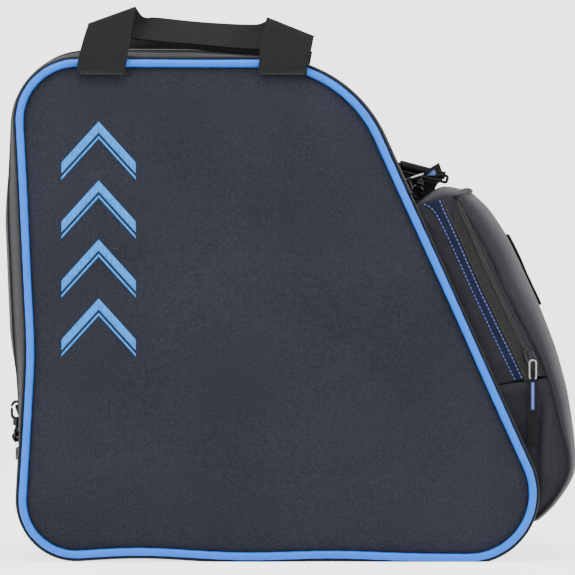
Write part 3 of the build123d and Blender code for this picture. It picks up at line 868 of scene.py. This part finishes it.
def crowned(name, rim, middle, rows, cols=61, ripple=0.0):
    """Cloth between a rim line at both walls and a middle line: across the depth it bulges from the rim to
    the middle as a superellipse, dense at the rims. ripple is the height of soft waves along it."""
    rim, middle = smooth_line(rim, rows), smooth_line(middle, rows)
    across = np.sin(np.linspace(-math.pi / 2, math.pi / 2, cols))
    bulge = (1 - np.abs(across) ** FACE_POWER) ** (1 / FACE_POWER)
    run = np.linspace(0, 1, rows)[:, None]
    waves = ripple * np.sin(run * 31 + 4 * across) * np.sin(math.pi * run) * bulge
    flat = rim[:, None] + (middle - rim)[:, None] * (bulge * (1 + 0 * run) + 0)[..., None]
    span = np.linalg.norm(middle - rim, axis=1)[:, None] + 4 * MM
    push = (middle - rim)[:, None] / span[..., None] * waves[..., None]
    flat = flat + push
    depth = np.broadcast_to(POCKET_HALF * across, (rows, cols))
    points = np.stack([flat[..., 0], depth, flat[..., 1]], -1)
    length = lengths(middle)
    uv = np.stack(np.broadcast_arrays(length[:, None], depth), -1)
    return surface(name, points, uv)


def side_points(inner, outer, rows, share, side, lift=0.0, folds=None):
    """Points of a side wall between two lines of X and Z: straight across from one to the other, puffed out
    by the product of two sines up to its stitched band, past which it is stiff and flat. share is each
    point's place across, from 0 to 1, for all rows or for each row."""
    inner, outer = smooth_line(inner, rows), smooth_line(outer, rows)
    share = np.broadcast_to(share, (rows, np.shape(share)[-1]))
    flat = inner[:, None] * (1 - share[..., None]) + outer[:, None] * share[..., None]
    u = np.linspace(0, 1, rows)[:, None]
    soft = np.sin(math.pi * u) ** 0.6 * np.sin(math.pi * np.clip(share / STIFF_FROM, 0, 1) ** 0.8)
    puff = WALL_PUFF * soft
    if folds is not None:
        puff = puff + folds(flat[..., 0], flat[..., 1]) * np.sin(math.pi * np.clip(share, 0.002, 0.998)) ** 0.5
    depth = side * (POCKET_HALF + lift + puff)
    return np.stack([flat[..., 0], depth, flat[..., 1]], -1)


def side_cloth(name, inner, outer, rows, share, side, lift=0.0, folds=None):
    """Cloth over side_points, with its flat place as its UV."""
    points = side_points(inner, outer, rows, share, side, lift, folds)
    return surface(name, points, points[..., ::2].copy(), flip=side > 0)


def low_folds(x, z):
    """The lower wall's soft folds: a ridge beside the seam, a hollow next to it, and one near the piping."""
    x, z = x / MM, z / MM
    ridge = 1.7 * np.exp(-((x - (216.5 - (124 - z) * 0.09)) / 4.2) ** 2)
    ridge *= smooth(z, 42, 70) * (1 - smooth(z, 112, 138))
    hollow = 1.9 * np.exp(-((x - (209.0 - (124 - z) * 0.07)) / 3.2) ** 2)
    hollow *= smooth(z, 45, 72) * (1 - smooth(z, 108, 134))
    low = 1.5 * np.exp(-((x - 205.0 - (z - 70) * 0.03) / 2.4) ** 2)
    low *= smooth(z, 48, 60) * (1 - smooth(z, 76, 92))
    seam_z = 137.5 + (x - 172.5) * 0.16
    puff = 1.6 * np.exp(-((z - seam_z + 7.5) / 5.0) ** 2)
    dip = 1.2 * np.exp(-((z - seam_z) / 2.4) ** 2)
    return (ridge - hollow + low + puff - dip) * MM


def high_folds(x, z):
    """The upper wall's: slack creases that run from the piping up towards the zip, near the cross seam."""
    x, z = x / MM, z / MM
    crease = 0.9 * np.exp(-((z - 152 - (x - 170) * 0.45) / 3.0) ** 2)
    hollow = 0.7 * np.exp(-((z - 170 - (x - 165) * 0.7) / 5.0) ** 2)
    top = 0.8 * np.exp(-((z - 262 + (x - 125) * 0.5) / 6.0) ** 2)
    away = 1 - smooth(x, line_at(ZIP_LINE, z * MM) / MM - 20, line_at(ZIP_LINE, z * MM) / MM - 12)
    return (crease - hollow + top) * away * MM


pocket_face = crowned("pocket_face", SEAM_LINE, MIDDLE_LINE, 150, ripple=0.35 * MM)
wall(pocket_face, POCKET_THICK, pocket_cloth, lining_cloth)
FOLD_AT, FOLD_REACH = np.array(JOINTS["pocket_fold"]["pos_m"]), np.array((0, 0, 7 * MM))
POCKET_FOLD = (FOLD_AT - FOLD_REACH, FOLD_AT + FOLD_REACH)
fit(pocket_face, "pocket_fabric", "pocket_flap", "pocket_flap_face", "pocket_lower_face", fold=POCKET_FOLD)

pocket_top = crowned("pocket_top", TOP_EDGE, TOP_MIDDLE, 40)
wall(pocket_top, POCKET_THICK, pocket_cloth, lining_cloth)
fit(pocket_top, "pocket_fabric", "root", "pocket_top_wall")

wide = np.stack([line_at(SEAM_LINE, ZIP_LINE[:, 1]), ZIP_LINE[:, 1]], 1)
wide[0] = SEAM_LINE[0]
low_rows = np.concatenate([[(0.2163, 0.1435)], SEAM_LINE[8:]])
slant_low = np.array([(172.5, 137.5), (184, 115), (196.5, 86), (205, 64), (206.5, 55), (205.5, 46), (203.5, 38),
                      (202.5, 33.5)]) * MM
flange_line = ZIP_LINE + np.array((0.9, 0.4)) * MM
for side, way in ((-1, "front"), (1, "back")):
    high = side_cloth(f"pocket_wall_{way}", SLANT_LINE, ZIP_LINE, 90, np.linspace(0, 0.97, 34), side,
                      folds=high_folds)
    low = side_cloth(f"pocket_wall_{way}_lower", slant_low, low_rows, 110, np.linspace(0, 1, 48), side,
                     folds=low_folds)
    flange = side_cloth(f"pocket_flange_{way}", flange_line, wide, 90, np.linspace(0, 1, 8), side)
    for piece in (high, low, flange):
        wall(piece, POCKET_THICK, pocket_cloth, lining_cloth)
    for piece in (high, low):
        fit(piece, "pocket_fabric", "root", f"pocket_side_{way}")
    seam = smooth_line(SEAM_LINE, 220)
    cord = np.stack([seam[:, 0], np.full(len(seam), side * (POCKET_HALF + 0.5 * MM)), seam[:, 1]], 1)
    welt = tube(f"pocket_seam_{way}", cord, 1.25 * MM, sides=12)
    welt.data.materials.append(lining_cloth)
    for piece in (flange, welt):
        fit(piece, "pocket_fabric", "pocket_flap", "pocket_flap_face", fold=POCKET_FOLD)

# ---- Pocket zip ----
# A 5 mm coil zip with a wide tape: up the front wall, over the top and down the back wall. Its tape's
# body side is top-stitched along the wall, beside a band between two rows of bright stitching.
BAND_ROWS = 90
TOP_ACROSS = np.array((0.92, 0.0, -0.39))
TOP_UP = np.array((0.39, 0.0, 0.92))
tape_brown = woven("tape_brown", (0.010, 0.0095, 0.009), (0.030, 0.028, 0.028), threads=900, roughness=0.6,
                   depth=0.0003, sheen=0.1)
band_navy = woven("band_navy", (0.003, 0.005, 0.016), (0.012, 0.018, 0.048), threads=1500, roughness=0.6)
blue_thread = thread("blue_thread", (0.10, 0.17, 0.62))
w = np.linspace(-0.80, 0.80, 9)
over = (1 - np.abs(w) ** FACE_POWER) ** (1 / FACE_POWER)
over_line = np.stack([0.144 + (MIDDLE_LINE[0, 0] - 0.144) * over, POCKET_HALF * w,
                      0.286 + (MIDDLE_LINE[0, 1] - 0.286) * over], 1) + TOP_UP * 0.4 * MM
rise = ZIP_LINE[::-1]
climb = np.stack([rise[:, 0], np.full(len(rise), -POCKET_HALF - 0.4 * MM), rise[:, 1]], 1)
climb[-1] = (0.1476, -POCKET_HALF - 0.4 * MM, 0.276)
climb = np.concatenate([climb, [(0.1468, -0.0925, 0.2848)]])
fall = climb[::-1] * (1, -1, 1)
knots = np.concatenate([climb, over_line, fall])

# At each knot: the direction out of the cloth, and the direction across the tape towards the flap.
along_wall, over_top = (len(rise), 1), (len(w), 1)
corner_up = np.array([(0.2, -0.75, 0.62)])
away = np.concatenate([np.tile((0.0, -1.0, 0.0), along_wall), corner_up, np.tile(TOP_UP, over_top),
                       corner_up * (1, -1, 1), np.tile((0.0, 1.0, 0.0), along_wall)])
WALL_ACROSS = (0.905, 0.0, 0.425)
flapward = np.concatenate([np.tile(WALL_ACROSS, along_wall), [(0.98, 0.1, 0.1)], np.tile(TOP_ACROSS, over_top),
                           [(0.98, -0.1, 0.1)], np.tile(WALL_ACROSS, along_wall)])
ZIP_STEPS = 560
fine = smooth_line(np.concatenate([knots, away, flapward], 1), ZIP_STEPS)
zip_path, zip_up, zip_side = fine[:, :3], unit(fine[:, 3:6]), unit(fine[:, 6:])
seam_wide = line_at(SEAM_LINE, zip_path[:, 2]) - line_at(ZIP_LINE, zip_path[:, 2]) - 1.2 * MM
seam_wide = np.clip(seam_wide, 1.5 * MM, 5.5 * MM)
on_wall = smooth(np.abs(zip_path[:, 1]), POCKET_HALF * 0.9, POCKET_HALF)
seam_wide = 3.0 * MM + (seam_wide - 3.0 * MM) * on_wall
body_wide = -4.0 * MM - 7.0 * MM * on_wall * (1 - smooth(zip_path[:, 2], 0.262, 0.284))
for name, side, far, body, fold in (("body", -1, body_wide, "root", None),
                                    ("flap", 1, seam_wide, "pocket_flap", POCKET_FOLD)):
    near = side * 0.6 * MM
    offset = near + (far - near)[:, None, None] * np.linspace(0, 1, 7)[None, :, None]
    lift = 0.25 * MM + 0.5 * MM * np.exp(-(offset / (1.6 * MM)) ** 2)
    points = zip_path[:, None] + zip_side[:, None] * offset + zip_up[:, None] * lift
    uv = np.stack(np.broadcast_arrays(np.linspace(0, 0.6, ZIP_STEPS)[:, None], offset[..., 0]), -1)
    tape = surface("pocket_tape_" + name, points, uv, flip=side > 0)
    wall(tape, 0.5 * MM, tape_brown, tape_brown)
    fit(tape, "zip_tape", body, "pocket_zip_tape_" + name, fold=fold)
    line = zip_path + zip_side * side * 0.9 * MM + zip_up * 0.9 * MM
    teeth = coil("pocket_coil_" + name, line, zip_side, zip_up, (0.9 * MM, 0.5 * MM), 1.8 * MM,
                 0.5 if side < 0 else 0)
    fit(teeth, "zip_coil", body, fold=fold)

run = np.linspace(0, 1, BAND_ROWS)
inner_share = np.interp(run, [0, 0.03, 0.07, 0.5, 1], [0.33, 0.43, 0.47, 0.46, 0.50])[:, None]
outer_share = np.interp(run, [0, 0.06, 0.5, 1], [0.66, 0.64, 0.625, 0.66])[:, None]
for side, way in ((-1, "front"), (1, "back")):
    spread = np.linspace(0, 1, 7)
    share = inner_share + 0.012 + (outer_share - inner_share - 0.024) * spread
    band = side_cloth(f"pocket_band_{way}", SLANT_LINE, ZIP_LINE, BAND_ROWS, share, side, 0.35 * MM, high_folds)
    wall(band, 0.5 * MM, band_navy, band_navy)
    fit(band, "edge_tape", "root", *(["pocket_edge_tape"] if side < 0 else []))
    rows = [side_points(SLANT_LINE, ZIP_LINE, BAND_ROWS, edge_share, side, 0.55 * MM, high_folds)[:, 0]
            for edge_share in (inner_share, outer_share)]
    sewn = stitches(f"pocket_stitches_{way}", rows, 3.3 * MM, blue_thread, size=0.00042, out=(0, side, 0))
    fit(sewn, "edge_tape", "root")
    hem = side_points(SLANT_LINE, ZIP_LINE, BAND_ROWS, outer_share + 0.075, side, 0.75 * MM, high_folds)[:, 0]
    quiet = stitches(f"pocket_tape_stitches_{way}", [hem], 2.6 * MM, black_thread, size=0.00028,
                     out=(0, side, 0))
    fit(quiet, "zip_tape", "root")

# ---- Pocket label ----
# A plain woven tab, folded under at its ends and sewn to the face along its long sides.
label_line = smooth_line(MIDDLE_LINE, 400)
label_line = label_line[(label_line[:, 1] < 0.257) & (label_line[:, 1] > 0.199)]
along = unit(np.gradient(label_line, axis=0))
label_out = np.stack([-along[:, 1], along[:, 0]], 1)
LABEL_HALF = 20 * MM
depth = np.linspace(-LABEL_HALF, LABEL_HALF, 9)
stand = label_line + label_out * (1.9 * MM)
points = np.stack(np.broadcast_arrays(stand[:, None, 0], depth[None], stand[:, None, 1]), -1)
uv = np.stack(np.broadcast_arrays(np.linspace(0, 0.056, len(stand))[:, None], depth[None]), -1)
label_weave = woven("label_weave", (0.004, 0.004, 0.005), (0.014, 0.014, 0.016), threads=2400, roughness=0.45)
label = surface("pocket_label_tab", points, uv)
wall(label, 1.3 * MM, label_weave, label_weave)
fit(label, "label", "pocket_flap", "pocket_label")
grey_thread = thread("grey_thread", (0.20, 0.20, 0.21))
rim = stand + label_out * (0.1 * MM)
sewn_y = (-LABEL_HALF * 0.92, LABEL_HALF * 0.92)
rows = [np.stack([rim[2:-2, 0], np.full(len(rim) - 4, y), rim[2:-2, 1]], 1) for y in sewn_y]
rows += [np.array([(rim[k, 0], y, rim[k, 1]) for y in sewn_y]) for k in (2, -3)]
out = label_out[len(label_out) // 2]
sewn = stitches("pocket_label_stitches", rows, 2.2 * MM, grey_thread, size=0.0003, out=(out[0], 0, out[1]))
fit(sewn, "label", "pocket_flap")

# ---- Base board ----
# A hardboard stiffener that lies loose in the bottom: brown fibres, with a darker edge where it was sawn.
board_fibre = material("board_fibre", (0.10, 0.062, 0.035), 0.8, Specular_IOR_Level=0.2)
fibres = noise(board_fibre.node_tree, 260.0, 6.0, 1.5)
two_tone(board_fibre, fibres, (0.05, 0.03, 0.017), (0.16, 0.10, 0.06), fibres, 0.0003)


def dress(name, finish):
    """Give a carried-over part its finish."""
    part = frame["nodes"][name]
    part.data.materials.clear()
    part.data.materials.append(finish)


dress("base_board", board_fibre)

# ---- Zip sliders and pulls ----
# Each slider is die-cast: a shoe over the coil, lacquered black, with a bridge. A bare zinc ring hangs
# from the bridge, and a folded tab of black tape with a bright bar tack is threaded through it.


def cast_metal(name, colour, roughness, scratch):
    """Cast metal: a fine noise shifts its roughness and its colour, as handling does."""
    made = material(name, colour, roughness, 1.0)
    tree = made.node_tree
    wear = noise(tree, 700.0, 4.0)
    rough = ranged(tree, wear, to_min=roughness - 0.08, to_max=roughness + scratch)
    tree.links.new(rough, tree.nodes["Principled BSDF"].inputs["Roughness"])
    return two_tone(made, wear, colour, tuple(c * 1.6 for c in colour), wear, 0.00005)


black_metal = cast_metal("black_metal", (0.022, 0.022, 0.025), 0.26, 0.12)
zinc = cast_metal("zinc", (0.26, 0.26, 0.27), 0.34, 0.15)
tab_webbing = webbing("tab_webbing", (0.004, 0.004, 0.0045), (0.018, 0.018, 0.020), pitch=0.0009, column=0.0020)


def pebble(name, centre, axes, half, power=0.45, taper=0.0):
    """A rounded block on three axes: an ellipsoid whose sines and cosines are raised to a power below one,
    which squares it up. Its width falls by the taper from one end of the first axis to the other."""
    lat = np.linspace(-math.pi / 2, math.pi / 2, 17)[:, None]
    lon = np.linspace(0, 2 * math.pi, 33)[None, :]
    squared = lambda value: np.sign(value) * np.abs(value) ** power
    high = squared(np.sin(lat)) + 0 * lon
    first = squared(np.cos(lat)) * squared(np.cos(lon))
    second = squared(np.cos(lat)) * squared(np.sin(lon)) * (1 - taper * first)
    axes = [np.asarray(axis, float) for axis in axes]
    points = np.asarray(centre, float) + sum(
        (value * size)[..., None] * axis for value, size, axis in zip((first, second, high), half, axes))
    made = surface(name, points, weld=True)
    mend(made.data, weld=False)
    return made


def slider(name, centre, along, out, length, width, height):
    """A slider's shoe and the bridge over it, as two pieces."""
    along, out = np.array(along, float), np.array(out, float)
    across = np.cross(out, along)
    shoe = pebble(name + "_shoe", centre, (along, across, out), (length / 2, width / 2, height / 2), taper=0.16)
    arc = np.linspace(0, math.pi, 17)[:, None]
    lift = height / 2 - 0.3 * MM + 2.3 * MM * np.sin(arc) ** 0.6
    line = np.asarray(centre) + along * (np.cos(arc) * length * 0.33) + out * lift
    bridge = tube(name + "_bridge", line, 0.85 * MM, sides=10)
    for piece in (shoe, bridge):
        piece.data.materials.append(black_metal)
        fit(piece, "zinc", name, name)


def oval(centre, along, across, length, width, corner, count=96):
    """Points round a rounded rectangle: each corner is a quarter circle between straight sides."""
    angle = np.linspace(0, 2 * math.pi, count, endpoint=False)
    turn_x, turn_y = np.cos(angle), np.sin(angle)
    x = np.sign(turn_x) * (length / 2 - corner) + corner * turn_x
    y = np.sign(turn_y) * (width / 2 - corner) + corner * turn_y
    return np.asarray(centre) + x[:, None] * np.asarray(along) + y[:, None] * np.asarray(across)


def box_middle(name):
    """The middle of a part's box, as an array."""
    low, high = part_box(name)
    return (np.array(low) + np.array(high)) / 2


def pull(name, across, length, width, twist, tab_wide, tab_long, mark):
    """A slider's pull: a wire ring between the hinge and the tab, and the tab of tape, which may twist
    by an angle along its length. mark gives the bar tack's start and end along the tab, and its width."""
    ring_middle, tab_middle = box_middle(name), box_middle(name + "_tab")
    down = (tab_middle - ring_middle) / np.linalg.norm(tab_middle - ring_middle)
    across = np.array(across, float)
    out = np.cross(across, down)
    loop = oval(ring_middle, down, across, length, width, width * 0.42)
    ring = tube(name + "_ring", loop, 0.75 * MM, sides=10, closed=True)
    ring.data.materials.append(zinc)
    fit(ring, "zinc", name, name)
    run = np.linspace(-tab_long / 2 - 1.5 * MM, tab_long / 2, 40)
    lean = twist * smooth(run, -tab_long * 0.45, tab_long * 0.2)
    way = np.cos(lean)[:, None] * across + np.sin(lean)[:, None] * out
    wide = tab_wide / 2 * (0.45 + 0.55 * smooth(run, -tab_long / 2 - 1.5 * MM, -tab_long / 2 + 3 * MM))[:, None]
    curve = 1.2 * MM * np.sin(np.linspace(0, math.pi, 40))[:, None] * out
    middle = tab_middle + run[:, None] * down + curve
    tab = ribbon(name + "_tape", middle - way * wide, middle + way * wide, cloth=tab_webbing, thick=2.0 * MM,
                 wide=tab_wide)
    fit(tab, "webbing", name, name + "_tab")
    face = np.cross(way, down)
    start, end, half = mark
    for sign in (-1, 1):
        lines = []
        for place in np.arange(start, end, 0.55 * MM):
            k = int(np.argmin(np.abs(run - place)))
            spot = tab_middle + place * down + curve[k] + sign * face[k] * 1.05 * MM
            lines.append([spot - way[k] * half, spot + way[k] * half])
        tack = stitches(f"{name}_tack_{'under' if sign < 0 else 'over'}", lines, 2 * half, blue_thread,
                        size=0.00034, gap=0.02, out=tuple(sign * face[len(face) // 2]))
        fit(tack, "webbing", name)


SLANT = np.array((-0.41124, 0.0, 0.91153))
SLANT_OUT = np.array((0.91153, 0.0, 0.41124))
main_place = box_middle("main_slider") - SLANT_OUT * 0.7 * MM
slider("main_slider", main_place, SLANT, SLANT_OUT, 14 * MM, 9.4 * MM, 3.4 * MM)
pull("main_pull", (0, 1, 0), 12.5 * MM, 6 * MM, math.radians(65), 9.6 * MM, 14 * MM,
     (-5 * MM, 2 * MM, 2.6 * MM))
pocket_place = box_middle("pocket_slider") + np.array((0, 0.9, 0)) * MM
slider("pocket_slider", pocket_place, (-0.434084, 0, 0.900873), (0, -1, 0), 13 * MM, 8.6 * MM, 3.0 * MM)
pull("pocket_pull", (1, 0, 0), 15 * MM, 5.2 * MM, 0.0, 8 * MM, 52 * MM, (-24 * MM, -3 * MM, 1.4 * MM))

# ---- Rings, hooks and eyes ----
# Each end of the strap hangs on a black lacquered snap hook: a cast C with a sprung gate, on a collar that
# swivels on the post of a wire eye. The hook is clipped to a D-ring, held by a short tab of webbing.
RING_TAB_HALF = 12 * MM
for end in ("left", "right"):
    for part in ("ring_", "swivel_eye_"):
        dress(part + end, black_metal)
HOOK_RIGHT_OUT = np.array((-0.2517, 0.0, -0.968))
seats = {"left": (np.array((-0.2070, 0.0, 0.1045)), np.array((0.0, 0.0, 1.0)), np.array((1.0, 0.0, 0.0))),
         "right": (np.array((0.11767, 0.0, 0.29952)), HOOK_RIGHT_OUT, np.array((-0.968, 0.0, 0.2517)))}
tab_seats = {"left": ((-0.1996, 0.1015), (-0.1950, 0.1006)), "right": ((0.1034, 0.3012), (0.0998, 0.2995))}
for end, (foot, up, side) in seats.items():
    def in_hook(x, z):
        """Points in the hook's own plane, from its millimetres across and along."""
        return foot + np.asarray(x)[:, None] * side * MM + np.asarray(z)[:, None] * up * MM

    turn = np.linspace(math.pi, 2 * math.pi, 24)
    low_x, low_z = 3.95 * np.cos(turn), 7.75 + 3.95 * np.sin(turn)
    turn = np.linspace(0, math.pi, 24)
    top_x, top_z = 3.95 * np.cos(turn), 13.75 + 3.95 * np.sin(turn)
    bend = in_hook(np.concatenate([[-3.95], low_x, [3.95, 3.95, 3.95], top_x]),
                   np.concatenate([[8.3], low_z, [9.0, 10.75, 12.5], top_z]))
    thick = np.interp(np.linspace(0, 1, len(bend)), [0, 0.1, 0.3, 0.6, 0.92, 1],
                      [1.0, 1.35, 1.75, 1.4, 1.15, 0.9]) * MM
    hook = tube(f"hook_bend_{end}", bend, thick, sides=14)
    girth = np.array([2.2, 3.1, 3.4, 3.4, 2.9, 2.9, 3.4, 3.2, 2.3, 1.7]) * MM
    level = np.array([-1.4, -1.3, -0.9, 0.0, 0.2, 0.7, 0.9, 2.2, 3.3, 4.4])
    collar = tube(f"hook_collar_{end}", in_hook(np.zeros(10), level), girth, sides=24)
    gate = tube(f"hook_gate_{end}_bar", in_hook(np.full(9, -3.95), np.linspace(6.6, 13.0, 9)),
                np.array([0.7, 1.05, 1.15, 1.15, 1.15, 1.15, 1.15, 1.05, 0.6]) * MM, sides=12)
    for piece, cad_node, body in ((hook, "snap_hook_", "hook_"), (collar, "snap_hook_", "hook_"),
                                  (gate, "hook_gate_", "gate_")):
        piece.data.materials.append(black_metal)
        fit(piece, "black_metal", body + end, cad_node + end)
    (bar_x, bar_z), (seam_x, seam_z) = tab_seats[end]
    back = np.array((seam_x - bar_x, seam_z - bar_z))
    back /= np.linalg.norm(back)
    square = np.array((-back[1], back[0]))
    turn = np.linspace(math.pi / 2, 3 * math.pi / 2, 17)[:, None]
    loop = np.cos(turn) * back * 2.5 * MM + np.sin(turn) * square * 2.5 * MM
    tails = back * np.array([6.0, 4.0, 2.0])[:, None] * MM
    line = np.concatenate([tails + square * 1.9 * MM, loop, tails[::-1] - square * 1.9 * MM])
    line = smooth_line(line + (bar_x, bar_z), 60)
    edges = [np.stack([line[:, 0], np.full(60, y), line[:, 1]], 1) for y in (-RING_TAB_HALF, RING_TAB_HALF)]
    tab = ribbon(f"ring_tab_{end}_web", *edges, thick=1.5 * MM, wide=2 * RING_TAB_HALF)
    fit(tab, "webbing", "root", "ring_tab_" + end)

# ---- Shoulder strap ----
# One length of the same 38 mm webbing, stowed round the back of the bag. It wraps the right eye, runs back
# over the pocket's corner, drops, turns flat at a diagonal fold, crosses the back, rounds the left corner and
# folds up to the left eye. Each end is sewn down on itself.
RIGHT_BAR = np.array((120.14, 0, 309.01))
RIGHT_ALONG = np.array((0.968, 0, -0.2517))
RIGHT_LIFT = np.array((0.2517, 0, 0.968))
HALF_WEB = 19.0
WRAP_R = 2.5


def across_at(middle, along, half=HALF_WEB):
    """The two edge points, in a row of six, of webbing whose middle and direction of width are given."""
    middle, along = np.asarray(middle, float), np.asarray(along, float)
    return np.concatenate([middle - along * half, middle + along * half])


wrap_turn = np.linspace(-math.pi / 2, -3 * math.pi / 2, 9)
rows = [across_at(RIGHT_BAR + (0, y, 0) - RIGHT_LIFT * drop, RIGHT_ALONG)
        for y, drop in ((26, 0.9), (18, 1.2), (8, 2.2))]
rows += [across_at(RIGHT_BAR + (0, WRAP_R * math.cos(t), 0) + RIGHT_LIFT * WRAP_R * math.sin(t), RIGHT_ALONG)
         for t in wrap_turn]
rows += [across_at((120.6, 16, 310.6), RIGHT_ALONG), across_at((120.4, 60, 308.0), (0.975, 0, -0.22)),
         across_at((119.5, 116, 305.2), (0.985, 0, -0.17)), across_at((118.2, 124.5, 303.5), (0.99, 0, -0.1)),
         across_at((116.2, 127.6, 298.5), (1, 0, 0)), across_at((113, 127.9, 290), (1, 0, 0)),
         across_at((113, 127.9, 190), (1, 0, 0)), across_at((113, 127.9, 92), (1, 0, 0))]
rows += [np.array(row, float) for row in (
    (94, 127.8, 50, 132, 127.8, 74), (94, 127.7, 33, 132, 127.7, 71), (94.8, 127.0, 31.2, 132.8, 127.0, 69.2),
    (93, 126.3, 32, 131, 126.3, 70), (84, 126.2, 32, 100, 126.2, 70), (66, 126.2, 32, 66, 126.2, 70))]
rows += [across_at((x, 126.2, 51), (0, 0, 1)) for x in (20, -60, -140, -194)]
rows += [across_at(place, (0, 0, 1)) for place in (
    (-198.6, 125.9, 51), (-200.9, 124.0, 51), (-201.6, 121.0, 51), (-201.7, 80, 51), (-201.7, 40, 51))]
rows += [np.array(row, float) for row in (
    (-201.7, 26, 32, -201.7, -6, 70), (-201.8, 19.4, 32, -201.8, -18, 70),
    (-202.5, 18.2, 31.2, -202.5, -19.8, 69.2),
    (-203.2, 19, 33, -203.2, -19, 70.5), (-203.3, 19, 52, -203.3, -19, 73), (-203.4, 19, 75, -203.4, -19, 76),
    (-203.8, 19, 86, -203.8, -19, 86))]
LEFT_BAR = np.array((-207.0, 0, 94.7))
rows += [across_at(LEFT_BAR + (WRAP_R * math.cos(t), 0, WRAP_R * math.sin(t)), (0, -1, 0))
         for t in np.linspace(0, math.pi, 9)]
rows += [across_at((-208.5, 0, 92.3), (0, -1, 0)), across_at((-206.6, 0, 90.6), (0, -1, 0)),
         across_at((-205.9, 0, 89.8), (0, -1, 0))]
rows = np.array(rows) * MM


def eased(rows, step, window):
    """Rows resampled evenly, a step apart at their middles, then each averaged with its neighbours, which
    rounds every bend without overshooting it."""
    middle = (rows[:, :3] + rows[:, 3:]) / 2
    reach = np.max([np.diff(lengths(line)) for line in (rows[:, :3], rows[:, 3:], middle)], axis=0)
    run = np.concatenate([[0], np.cumsum(reach)])
    even = np.linspace(0, run[-1], int(run[-1] / step))
    dense = np.stack([np.interp(even, run, rows[:, k]) for k in range(6)], 1)
    kernel = np.hanning(window + 2)[1:-1]
    kernel /= kernel.sum()
    padded = np.pad(dense, ((window // 2, window // 2), (0, 0)), mode="edge")
    return np.stack([np.convolve(padded[:, k], kernel, "valid") for k in range(6)], 1)


strap_rows = eased(rows, 0.8 * MM, 7)
strap = ribbon("strap_webbing", strap_rows[:, :3], strap_rows[:, 3:], thick=1.5 * MM)
fit(strap, "webbing", "root", "shoulder_strap")
right_rows = []
for y in (10.0, 13.0, 22.0):
    spot = (RIGHT_BAR + (0, y, 0) + RIGHT_LIFT * (2.45 - 0.035 * y)) * MM
    right_rows.append([spot - RIGHT_ALONG * 16 * MM, spot + RIGHT_ALONG * 16 * MM])
sewn = stitches("strap_stitches_right", right_rows, 2.4 * MM, black_thread, out=tuple(RIGHT_LIFT))
fit(sewn, "webbing", "root")
left_rows = [[(-0.2076, -0.016, z), (-0.2076, 0.016, z)] for z in (0.0903, 0.0913)]
sewn = stitches("strap_stitches_left", left_rows, 2.4 * MM, black_thread, out=(-1, 0, 0))
fit(sewn, "webbing", "root")

# ---- Strap adjuster ----
# A moulded nylon sleeve that keeps the strap's plies together: one rounded loop round the webbing.
moulded_nylon = material("moulded_nylon", (0.018, 0.018, 0.020), 0.42, Specular_IOR_Level=0.4)
spark = noise(moulded_nylon.node_tree, 1800.0)
two_tone(moulded_nylon, spark, (0.012, 0.012, 0.013), (0.026, 0.026, 0.029), spark, 0.0001)
sleeve_low, sleeve_high = (np.array(corner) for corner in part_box("strap_adjuster"))
sleeve_middle = (sleeve_low + sleeve_high) / 2
SLEEVE_WALL = 0.85 * MM
SLEEVE_HALF = 4.9 * MM
loop = oval(sleeve_middle, (0, 1, 0), (1, 0, 0), 44.2 * MM, 4.3 * MM, 2.0 * MM, 120)
away = loop - sleeve_middle
away[:, 1] = np.sign(away[:, 1]) * np.clip(np.abs(away[:, 1]) - 20.1 * MM, 0, None)
away = unit(away)
turn = np.linspace(0, 2 * math.pi, 29)
outward = SLEEVE_WALL * np.sign(np.cos(turn)) * np.abs(np.cos(turn)) ** 0.5
upward = SLEEVE_HALF * np.sign(np.sin(turn)) * np.abs(np.sin(turn)) ** 0.5
points = loop[:, None] + away[:, None] * outward[None, :, None] + np.array((0, 0, 1.0)) * upward[None, :, None]
sleeve = surface("adjuster_sleeve", points, closed=True, weld=True)
mend(sleeve.data, weld=False)
sleeve.data.materials.append(moulded_nylon)
fit(sleeve, "adjuster_plastic", "strap_adjuster", "strap_adjuster")
